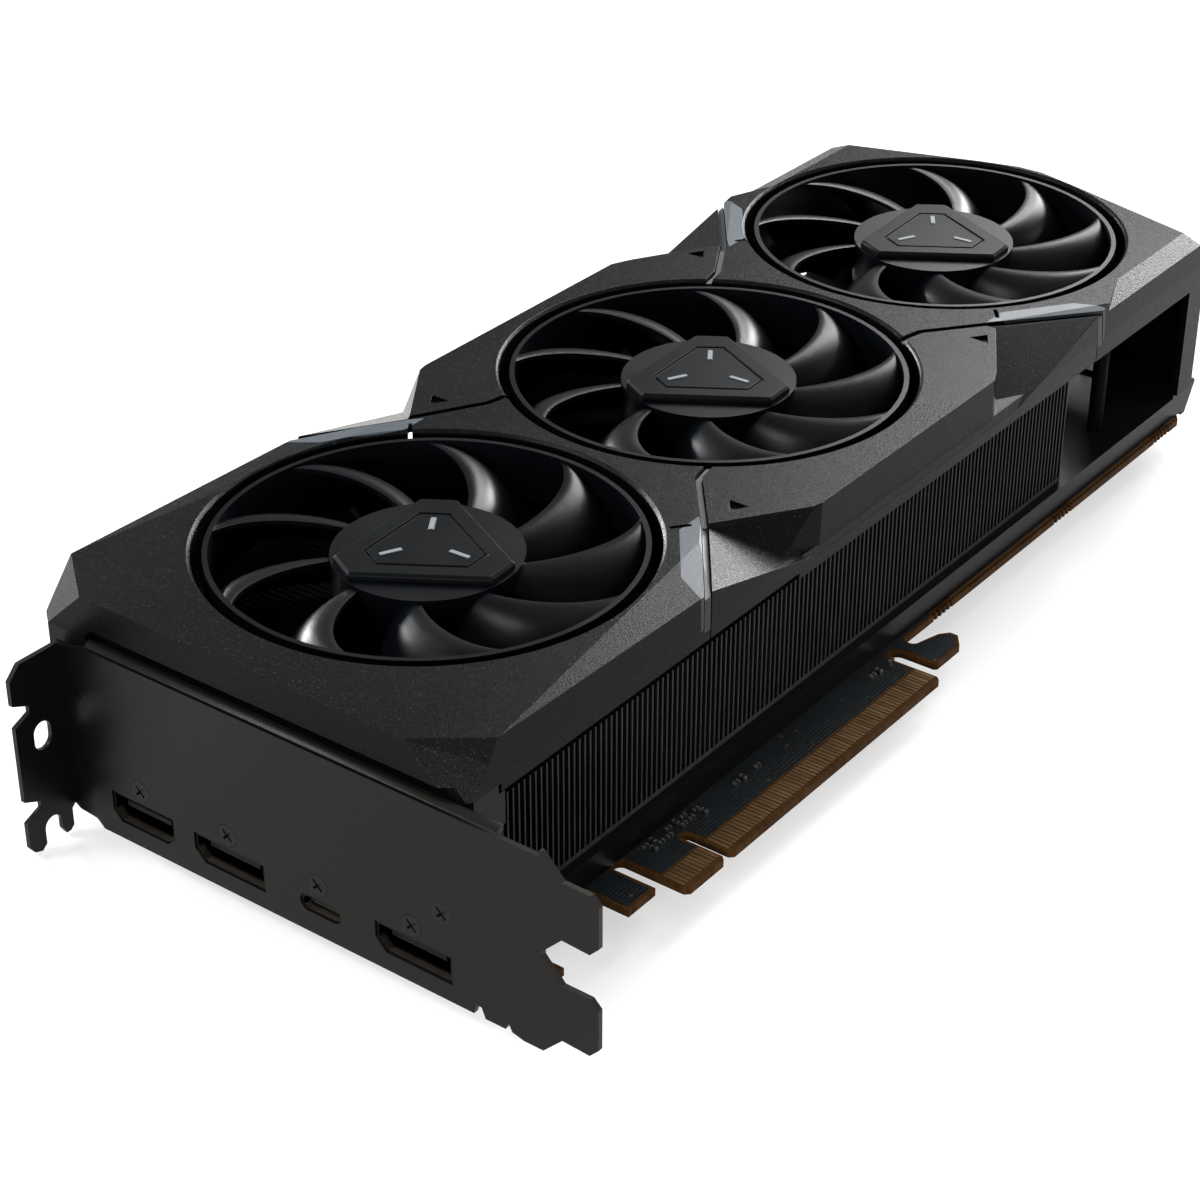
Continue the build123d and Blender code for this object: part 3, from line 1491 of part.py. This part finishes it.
with BuildPart() as cap:
    with BuildSketch(Plane.XY.offset(hub_top_z)):
        with BuildLine():
            Polyline(*hexagon(cap_r, cap_half), close=True)
        make_face()
    extrude(amount=cap_h)
    chamfer(cap.faces().sort_by(Axis.Z)[-1].edges(), length=0.5)
    with BuildSketch(Plane.XY.offset(hub_top_z + cap_h - groove_depth)):
        with BuildLine():
            Polyline(*hexagon(groove_r, groove_half), close=True)
        make_face()
        offset(amount=-groove_w, kind=Kind.INTERSECTION, mode=Mode.SUBTRACT)
    extrude(amount=groove_depth, mode=Mode.SUBTRACT)
    with BuildSketch(Plane.XY.offset(hub_top_z + cap_h)):
        with PolarLocations((bar_r0 + bar_r1) / 2, 3, start_angle=cap_turn):
            Rectangle(bar_r1 - bar_r0, bar_w)
    extrude(amount=bar_h)

with BuildPart() as shaft:
    with BuildSketch(Plane.XY.offset(deck_top_z + 0.4)):
        Circle(shaft_r)
    extrude(amount=ceiling_z - deck_top_z - 0.4)

with BuildPart() as stator:
    with BuildSketch(Plane.XY.offset(deck_top_z)):
        Circle(stator_r)
        with PolarLocations(stator_r, 9):
            Rectangle(5.0, 2.4, mode=Mode.SUBTRACT)
        Circle(shaft_r + shaft_gap, mode=Mode.SUBTRACT)
    extrude(amount=ceiling_z - 0.8 - deck_top_z)

for x, place in zip(fan_xs, ("front", "middle", "rear")):
    for piece, kind in ((rotor, "rotor"), (cap, "cap"), (shaft, "shaft"), (stator, "stator")):
        with BuildPart() as placed:
            with Locations((x, fan_y, 0)):
                add(piece.part)
        save(placed.part, f"{place}_fan_{kind}")
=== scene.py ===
import json
import math

import bpy
from mathutils import Matrix, Vector


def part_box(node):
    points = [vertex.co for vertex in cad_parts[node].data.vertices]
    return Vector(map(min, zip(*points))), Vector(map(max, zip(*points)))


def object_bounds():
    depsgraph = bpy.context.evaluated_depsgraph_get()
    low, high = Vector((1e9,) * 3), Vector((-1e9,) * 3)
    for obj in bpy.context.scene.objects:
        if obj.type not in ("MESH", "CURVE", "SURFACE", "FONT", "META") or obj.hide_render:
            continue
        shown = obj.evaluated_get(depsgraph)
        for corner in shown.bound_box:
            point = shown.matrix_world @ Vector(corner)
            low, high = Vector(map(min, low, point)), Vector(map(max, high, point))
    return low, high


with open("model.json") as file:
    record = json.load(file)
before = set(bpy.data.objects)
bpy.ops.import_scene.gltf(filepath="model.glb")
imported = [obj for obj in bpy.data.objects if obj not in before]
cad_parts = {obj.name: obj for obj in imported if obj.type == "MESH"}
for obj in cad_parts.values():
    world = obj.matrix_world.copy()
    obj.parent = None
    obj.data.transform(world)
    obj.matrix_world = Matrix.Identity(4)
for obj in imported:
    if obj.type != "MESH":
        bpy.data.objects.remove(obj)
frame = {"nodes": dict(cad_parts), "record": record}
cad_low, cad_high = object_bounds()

MM = 0.001
FANS = ("front", "middle", "rear")
nodes = frame["nodes"]
scene = bpy.context.scene


def scaled(colour, factor):
    return tuple(min(1, channel * factor) for channel in colour)


# ---------------------------------------------------------------- node helpers
class Finish:
    """A node material: one shader, with its patterns laid in object space.

    Cell counts are to the metre, because object space is in metres.
    """

    # sockets of the Mix node when it mixes colours
    MIX_FACTOR, MIX_A, MIX_B, MIX_RESULT = 0, 6, 7, 2

    def __init__(self, name, rough, spec, metal=0.0):
        self.material = bpy.data.materials.new(name)
        self.material.use_nodes = True
        self.tree = self.material.node_tree
        self.shader = self.tree.nodes["Principled BSDF"]
        self.set(self.shader, "Roughness", rough)
        self.set(self.shader, "Specular IOR Level", spec)
        self.set(self.shader, "Metallic", metal)
        self.normal = None

    def set(self, node, socket, value):
        node.inputs[socket].default_value = value

    def link(self, out, node, socket):
        self.tree.links.new(out, node.inputs[socket])

    def place(self, output="Object"):
        return self.tree.nodes.new("ShaderNodeTexCoord").outputs[output]

    def stretched(self, scale):
        """Object coordinates scaled on each axis, so that grain can run one way."""
        node = self.tree.nodes.new("ShaderNodeVectorMath")
        node.operation = "MULTIPLY"
        self.link(self.place(), node, 0)
        node.inputs[1].default_value = scale
        return node.outputs["Vector"]

    def noise(self, cells, detail=2.0, stretch=(1, 1, 1), rough=0.5):
        """Noise from 0 to 1."""
        node = self.tree.nodes.new("ShaderNodeTexNoise")
        self.link(self.stretched(stretch), node, "Vector")
        self.set(node, "Scale", cells)
        self.set(node, "Detail", detail)
        self.set(node, "Roughness", rough)
        return node.outputs["Fac"]

    def dots(self, cells):
        """Distance to the middle of the nearest cell."""
        node = self.tree.nodes.new("ShaderNodeTexVoronoi")
        self.link(self.place(), node, "Vector")
        self.set(node, "Scale", cells)
        return node.outputs["Distance"]

    def part_of(self, vector, axis):
        node = self.tree.nodes.new("ShaderNodeSeparateXYZ")
        self.link(vector, node, "Vector")
        return node.outputs[axis]

    def along(self, axis):
        """Where on that axis the point is, in metres."""
        return self.part_of(self.place(), axis)

    def facing(self, axis):
        """That component of the surface's own normal, at rest."""
        return self.part_of(self.place("Normal"), axis)

    def math(self, kind, a, b, clamp=False):
        node = self.tree.nodes.new("ShaderNodeMath")
        node.operation = kind
        node.use_clamp = clamp
        self.link(a, node, 0)
        self.link(b, node, 1)
        return node.outputs[0]

    def ramp(self, source, low, high, to_low=0.0, to_high=1.0):
        """source from low..high is mapped to to_low..to_high, and held outside."""
        node = self.tree.nodes.new("ShaderNodeMapRange")
        self.link(source, node, "Value")
        self.set(node, "From Min", low)
        self.set(node, "From Max", high)
        self.set(node, "To Min", to_low)
        self.set(node, "To Max", to_high)
        return node.outputs["Result"]

    def mix(self, factor, a, b):
        """Two colours, each a tuple or an output."""
        node = self.tree.nodes.new("ShaderNodeMix")
        node.data_type = "RGBA"
        self.link(factor, node, self.MIX_FACTOR)
        for socket, value in ((self.MIX_A, a), (self.MIX_B, b)):
            if isinstance(value, tuple):
                node.inputs[socket].default_value = (*value, 1.0)
            else:
                self.link(value, node, socket)
        return node.outputs[self.MIX_RESULT]

    def blotched(self, source, low, high, a, b):
        """Colour a where source is under low, b where it is over high."""
        return self.mix(self.ramp(source, low, high), a, b)

    def colour(self, value):
        self.link(value, self.shader, "Base Color")

    def colour_so_far(self):
        return self.shader.inputs["Base Color"].links[0].from_socket

    def roughness(self, value):
        self.link(value, self.shader, "Roughness")

    def bump(self, height, depth, strength):
        """Adds relief of that depth in metres to what is there already."""
        node = self.tree.nodes.new("ShaderNodeBump")
        self.set(node, "Strength", strength)
        self.set(node, "Distance", depth)
        self.link(height, node, "Height")
        if self.normal is not None:
            self.link(self.normal, node, "Normal")
        self.normal = node.outputs["Normal"]
        self.link(self.normal, self.shader, "Normal")


# ---------------------------------------------------------------- kinds of finish
def coated_metal(name, base, glint, rough, spec, cells=2100.0, glints=0.6, grain=0.08 * MM):
    """Blasted metal in a satin coating: flake sparkle painted into the colour as glints, mostly on
    faces that look up, slow drifts of tone, and sides painted darker as shade.
    """
    wall_shade = 0.3
    f = Finish(name, rough, spec)
    drift = f.noise(22.0, detail=3.0)
    speck = f.noise(cells, detail=3.0, rough=0.75)
    fine = f.noise(cells * 2.3, detail=1.0)

    # painted highlight: flake glints painted into the colour, strongest on faces that look up, as if
    # lit from above
    painted_glint_on_top = f.ramp(f.facing("Z"), 0.1, 0.7, 0.15, 1.0)
    sparkle = f.math("MULTIPLY", f.ramp(speck, 0.60, 0.72, 0.0, glints), painted_glint_on_top)
    shade = f.blotched(drift, 0.35, 0.65, scaled(base, 0.86), scaled(base, 1.12))
    # painted shade: faces that do not look up are painted darker, down to wall_shade times the base
    shade = f.blotched(f.facing("Z"), 0.1, 0.6, scaled(base, wall_shade), shade)
    f.colour(f.mix(sparkle, shade, glint))

    by_speck = f.ramp(speck, 0.3, 0.7, rough + 0.05, rough - 0.07)
    by_drift = f.ramp(drift, 0.3, 0.7, -0.02, 0.03)
    f.roughness(f.math("ADD", by_speck, by_drift))
    f.bump(speck, grain, strength=0.8)
    f.bump(fine, grain * 0.4, strength=0.6)
    return f


def moulded_plastic(name, base, rough, spec, cells=5200.0, grain=0.02 * MM, spread=0.2):
    """Fine-textured moulded plastic, with a faint uneven gloss."""
    f = Finish(name, rough, spec)
    drift = f.noise(60.0, detail=3.0)
    f.colour(f.blotched(drift, 0.3, 0.7, scaled(base, 1 - spread), scaled(base, 1 + spread)))
    f.roughness(f.ramp(drift, 0.3, 0.7, rough - 0.03, rough + 0.04))
    f.bump(f.noise(cells), grain, strength=0.5)
    return f


def brushed_metal(name, base, rough, axis):
    """Bare metal with a rolled or brushed grain along one axis."""
    spread, spec, metal = 0.15, 0.5, 1.0
    grain_stretch = {"X": (0.06, 1, 1), "Z": (1, 1, 0.06)}
    f = Finish(name, rough, spec, metal)
    grain = f.noise(2700.0, detail=3.0, stretch=grain_stretch[axis])
    stain = f.noise(70.0, detail=3.0)
    f.colour(f.blotched(stain, 0.3, 0.7, scaled(base, 1 - spread), scaled(base, 1 + spread)))
    f.roughness(f.ramp(grain, 0.25, 0.75, rough - 0.06, rough + 0.1))
    f.bump(grain, 0.02 * MM, strength=0.4)
    return f


# ---------------------------------------------------------------- finishes with a place in the part
def cap_finish():
    """Hub cap: slate satin plastic, with three pale raised bars."""
    f = moulded_plastic("cap_plastic", (0.0042, 0.0052, 0.0061), 0.34, 0.045,
                        grain=0.01 * MM, spread=0.12)
    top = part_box("front_fan_cap")[1].z
    bars = f.ramp(f.along("Z"), top - 0.16 * MM, top - 0.06 * MM)
    f.colour(f.mix(bars, f.colour_so_far(), (0.20, 0.215, 0.23)))
    return f


def fin_finish():
    """Aluminium fins whose flanks are painted near-black as the shade between the fins; the sheared
    ends show the metal.
    """
    low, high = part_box("fin_stack")
    flank_shade_dark, flank_shade_light = (0.0030, 0.0030, 0.0032), (0.0055, 0.0055, 0.0060)
    bare_dark, bare_light = (0.026, 0.025, 0.023), (0.055, 0.052, 0.049)
    f = Finish("fin_flanks_painted_shade", 0.42, 0.03)
    across = f.along("Y")
    near = f.ramp(across, low.y + 0.02 * MM, low.y + 0.08 * MM, 1.0, 0.0)
    far = f.ramp(across, high.y - 0.08 * MM, high.y - 0.02 * MM)
    bare = f.math("ADD", near, far, clamp=True)
    grain = f.noise(2600.0, detail=3.0, stretch=(1, 1, 0.08))
    # painted shade: the flanks are painted near-black for the shade in the gaps between the fins
    flank_shade = f.blotched(f.noise(70.0, detail=3.0), 0.3, 0.7, flank_shade_dark, flank_shade_light)
    f.colour(f.mix(bare, flank_shade, f.blotched(grain, 0.3, 0.7, bare_dark, bare_light)))
    f.roughness(f.ramp(grain, 0.25, 0.75, 0.36, 0.5))
    f.bump(grain, 0.01 * MM, strength=0.4)
    return f


def shell_finish():
    """Port shells: nickel colour only on the upward-facing front lip of the inner floor, kept as its
    lit part; everywhere else painted near-black as shade.
    """
    f = brushed_metal("nickel_shell", (0.42, 0.36, 0.29), 0.34, "X")
    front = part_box("displayport_ports")[0].x
    # painted light: nickel colour is kept only where the inner floor looks up near the front, as its
    # lit part, and the rest is painted near-black as shade
    floor_of_port = f.ramp(f.facing("Z"), 0.6, 0.8)
    lip = f.ramp(f.along("X"), front + 0.9 * MM, front + 1.6 * MM, 1.0, 0.0)
    bare = f.math("MULTIPLY", floor_of_port, lip)
    f.colour(f.mix(bare, (0.006, 0.006, 0.006), f.colour_so_far()))
    return f


def laminate_finish():
    """The board's laminate: woven glass, orange-brown at its bare edges."""
    f = Finish("board_laminate", 0.5, 0.02)
    warp = f.noise(900.0, stretch=(1, 0.2, 0.2))
    weft = f.noise(900.0, stretch=(0.2, 1, 0.2))
    weave = f.math("MULTIPLY", warp, weft)
    f.colour(f.blotched(weave, 0.15, 0.35, (0.034, 0.0145, 0.0040), (0.060, 0.027, 0.0080)))
    f.roughness(f.ramp(weave, 0.15, 0.35, 0.5, 0.36))
    f.bump(weave, 0.03 * MM, strength=0.5)
    return f


def mask_finish():
    """Solder mask over tracks and flooded copper, with vias, and none past the hook."""
    hook_reach, edge_blend = 20.5 * MM, 0.2 * MM
    mask_dark, mask_light = (0.0080, 0.0105, 0.0125), (0.0105, 0.0135, 0.0160)
    track_colour, via_colour = (0.0045, 0.006, 0.0075), (0.055, 0.040, 0.022)
    bare_board = (0.085, 0.040, 0.012)
    f = Finish("solder_mask", 0.36, 0.12)

    brick = f.tree.nodes.new("ShaderNodeTexBrick")
    f.link(f.stretched((1, 1, 0)), brick, "Vector")
    f.set(brick, "Scale", 420.0)
    f.set(brick, "Mortar Size", 0.09)
    f.set(brick, "Mortar Smooth", 0.3)
    f.set(brick, "Brick Width", 2.6)
    f.set(brick, "Row Height", 0.32)
    routed = f.ramp(f.noise(95.0, detail=1.0), 0.47, 0.53)
    tracks = f.math("MULTIPLY", brick.outputs["Fac"], routed)

    drilled = f.ramp(f.noise(60.0, detail=1.0), 0.5, 0.55)
    vias = f.math("MULTIPLY", f.ramp(f.dots(330.0), 0.10, 0.16, 1.0, 0.0), drilled)

    past_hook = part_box("edge_contacts")[1].x + hook_reach
    bare = f.ramp(f.along("X"), past_hook, past_hook + edge_blend)
    plain = f.blotched(f.noise(35.0), 0.35, 0.65, mask_dark, mask_light)
    lined = f.mix(tracks, plain, track_colour)
    dotted = f.mix(vias, lined, via_colour)
    f.colour(f.mix(bare, dotted, bare_board))
    f.bump(f.math("ADD", tracks, vias), 0.04 * MM, strength=0.6)
    return f


def contact_finish():
    """Hard gold on the card-edge contacts, with faint wiping marks."""
    f = Finish("contact_gold", 0.36, 0.2, metal=0.5)
    wipe = f.noise(1600.0, detail=3.0, stretch=(1, 0.08, 1))
    f.colour(f.blotched(wipe, 0.3, 0.7, (0.105, 0.060, 0.025), (0.16, 0.095, 0.042)))
    f.roughness(f.ramp(wipe, 0.3, 0.7, 0.28, 0.42))
    f.bump(wipe, 0.01 * MM, strength=0.4)
    return f


# ---------------------------------------------------------------- one finish for each slot
fine_plating = {"cells": 3000.0, "grain": 0.02 * MM}

finishes = {
    # name, base colour, glint colour, roughness, specular
    "shroud_grey": coated_metal(
        "satin_coated_shroud", (0.0045, 0.0052, 0.0058), (0.085, 0.088, 0.092), 0.27, 0.046),
    "wing_grey": coated_metal(
        "satin_coated_wing", (0.0052, 0.0059, 0.0066), (0.095, 0.099, 0.104), 0.26, 0.050),
    "accent_light": coated_metal(
        "satin_light_strip", (0.056, 0.060, 0.064), (0.18, 0.19, 0.20), 0.38, 0.16, glints=0.25),
    "inlay_blue": coated_metal(
        "bluish_inlay", (0.060, 0.072, 0.084), (0.18, 0.195, 0.22), 0.42, 0.2, glints=0.25),
    "bracket_black": coated_metal(
        "black_plated_bracket", (0.0052, 0.0045, 0.0036), (0.024, 0.021, 0.018), 0.34, 0.14,
        glints=0.25, **fine_plating),
    "screw_black": coated_metal(
        "black_plated_screw", (0.0062, 0.0054, 0.0045), (0.026, 0.023, 0.020), 0.30, 0.16,
        glints=0.2, **fine_plating),
    "backplate_grey": coated_metal(
        "satin_coated_backplate", (0.0075, 0.0080, 0.0090), (0.045, 0.045, 0.048), 0.36, 0.06,
        glints=0.3),
    "frame_dark": coated_metal(
        "coated_cooler_frame", (0.0065, 0.0065, 0.0070), (0.020, 0.020, 0.021), 0.33, 0.09,
        cells=3200.0, glints=0.2, grain=0.02 * MM),
    # name, base colour, roughness, specular
    "deck_black": moulded_plastic("deck_plastic", (0.0020, 0.0020, 0.0023), 0.5, 0.03),
    "rotor_black": moulded_plastic(
        "fan_plastic", (0.0015, 0.0022, 0.0032), 0.33, 0.080, cells=4200.0, grain=0.01 * MM),
    "stator_dark": moulded_plastic("stator_plastic", (0.004, 0.004, 0.0045), 0.5, 0.1),
    "socket_black": moulded_plastic("socket_plastic", (0.007, 0.007, 0.007), 0.45, 0.2),
    "chip_dark": moulded_plastic(
        "chip_plastic", (0.012, 0.012, 0.013), 0.5, 0.25, cells=7000.0, grain=0.01 * MM),
    "choke_grey": moulded_plastic(
        "choke_ferrite", (0.06, 0.06, 0.063), 0.55, 0.3, cells=4500.0, grain=0.03 * MM),
    "pad_grey": moulded_plastic(
        "pad_silicone", (0.28, 0.31, 0.33), 0.75, 0.2, cells=2500.0, grain=0.04 * MM),
    # name, base colour, roughness, axis of the grain
    "pin_tin": brushed_metal("tinned_pin", (0.55, 0.55, 0.55), 0.3, "Z"),
    "can_silver": brushed_metal("tinned_end", (0.55, 0.54, 0.52), 0.34, "Z"),
    "spring_steel": brushed_metal("spring_steel", (0.22, 0.22, 0.23), 0.34, "X"),
    "shaft_steel": brushed_metal("ground_shaft", (0.40, 0.40, 0.41), 0.25, "Z"),
    "chamber_copper": brushed_metal("plated_chamber", (0.42, 0.25, 0.18), 0.34, "X"),
    # finishes that follow the part's own edges
    "cap_grey": cap_finish(),
    "port_shell": shell_finish(),
    "fin_aluminium": fin_finish(),
    "board_copper": laminate_finish(),
    "mask_slate": mask_finish(),
    "contact_gold": contact_finish(),
}

# ---------------------------------------------------------------- CAD nodes
slot_of = {entry["node"]: entry["material_slot"] for entry in frame["record"]["subparts"]}

# nodes that get a small edge radius, in millimetres
edge_radius = {
    "shroud_front": 0.35, "shroud_rear": 0.35,
    "wing_panel_near": 0.35, "wing_panel_far": 0.35,
    "accent_strips": 0.12, "inlay_plates": 0.15,
    "io_bracket": 0.12, "circuit_board": 0.1,
    "backplate": 0.25, "cooler_frame": 0.2,
}
edge_radius.update({fan + "_fan_cap": 0.18 for fan in FANS})


def round_edges(obj, radius):
    """A small edge radius on a CAD node, by modifiers alone."""
    weld = obj.modifiers.new("weld", "WELD")
    weld.merge_threshold = 0.002 * MM
    bevel = obj.modifiers.new("edges", "BEVEL")
    bevel.width = radius * MM
    bevel.segments = 2
    bevel.limit_method = "ANGLE"
    bevel.angle_limit = math.radians(24)
    bevel.harden_normals = True
    bevel.use_clamp_overlap = True


for name, obj in nodes.items():
    for holder in obj.material_slots:
        holder.material = finishes[slot_of[name]].material
    if name in edge_radius:
        round_edges(obj, edge_radius[name])

# ---------------------------------------------------------------- floor
FLOOR_REACH = 6.0
FLOOR_GAP = 0.3 * MM
PAPER_GREY = 0.45
PAPER_GLOW = 0.56       # seen by the camera and in reflections; with the light it makes white


def floor_sheet():
    mesh = bpy.data.meshes.new("studio_floor")
    z = cad_low.z - FLOOR_GAP
    corners = [(-1, -1), (1, -1), (1, 1), (-1, 1)]
    mesh.from_pydata([(x * FLOOR_REACH, y * FLOOR_REACH, z) for x, y in corners], [], [(0, 1, 2, 3)])
    mesh.update()
    obj = bpy.data.objects.new("studio_floor", mesh)
    scene.collection.objects.link(obj)
    return obj


def paper_finish():
    """Pale paper that looks white and still keeps the object's shadow."""
    f = Finish("floor_paper", 0.9, 0.1)
    f.set(f.shader, "Base Color", (PAPER_GREY, PAPER_GREY, PAPER_GREY, 1))
    f.set(f.shader, "Emission Color", (1, 1, 1, 1))
    path = f.tree.nodes.new("ShaderNodeLightPath")
    seen = f.math("MAXIMUM", path.outputs["Is Camera Ray"], path.outputs["Is Glossy Ray"])
    seen = f.math("MAXIMUM", seen, path.outputs["Is Transmission Ray"])
    f.link(f.ramp(seen, 0.0, 1.0, 0.0, PAPER_GLOW), f.shader, "Emission Strength")
    return f


floor = floor_sheet()
floor.data.materials.append(paper_finish().material)

# ---------------------------------------------------------------- world and lamps
world = bpy.data.worlds.new("studio")
scene.world = world
world.use_nodes = True
backdrop = world.node_tree.nodes["Background"]
backdrop.inputs["Strength"].default_value = 0.42
backdrop.inputs["Color"].default_value = (0.98, 0.99, 1.0, 1)

centre = (Vector(cad_low) + Vector(cad_high)) / 2

# name, direction from the middle of the part, distance, size in metres, watts, tint
softboxes = [
    ("back_high", (0.785, 0.196, 0.588), 1.25, (0.53, 0.44), 17.0, (1.0, 0.995, 0.985)),
    ("back_low", (0.949, 0.066, 0.309), 1.25, (0.35, 0.30), 14.0, (1.0, 0.995, 0.985)),
    ("key_right", (0.770, -0.560, 0.310), 1.3, (0.34, 0.30), 3.5, (1.0, 0.985, 0.965)),
    ("rim_left", (0.241, 0.96, 0.12), 1.3, (0.40, 0.26), 20.0, (0.97, 0.985, 1.0)),
    ("front_high", (-0.514, 0.514, 0.686), 1.2, (0.35, 0.30), 7.0, (1.0, 0.99, 0.98)),
    ("front_low", (-0.92, -0.37, 0.12), 0.33, (0.10, 0.10), 0.6, (1.0, 0.97, 0.94)),
    ("overhead", (0.10, 0.05, 1.0), 1.5, (1.5, 1.3), 5.0, (1.0, 1.0, 1.0)),
]

for name, direction, distance, size, watts, tint in softboxes:
    light = bpy.data.lights.new(name, "AREA")
    light.shape = "RECTANGLE"
    light.size, light.size_y = size
    light.energy = watts
    light.color = tint
    lamp = bpy.data.objects.new(name, light)
    way = Vector(direction).normalized()
    lamp.location = centre + way * distance
    lamp.rotation_euler = way.to_track_quat("Z", "Y").to_euler()
    lamp.visible_camera = False
    scene.collection.objects.link(lamp)

# ---------------------------------------------------------------- camera
# the view that the part's sizes were solved from
eye = Vector((-0.26507, -0.25884, 0.28298))
right = Vector((0.60046, -0.79965, 0.00194))
down = Vector((-0.40965, -0.30970, -0.85806))
ahead = Vector((0.68675, 0.51444, -0.51354))

lens = bpy.data.cameras.new("camera")
lens.sensor_width = 36.0
lens.lens = 81.04
lens.clip_start = 0.01
camera = bpy.data.objects.new("camera", lens)
scene.collection.objects.link(camera)
turn = Matrix((right, -down, -ahead)).transposed()
camera.matrix_world = Matrix.Translation(eye) @ turn.to_4x4()
bpy.context.scene.camera = camera

bpy.context.scene.view_settings.view_transform = "Standard"
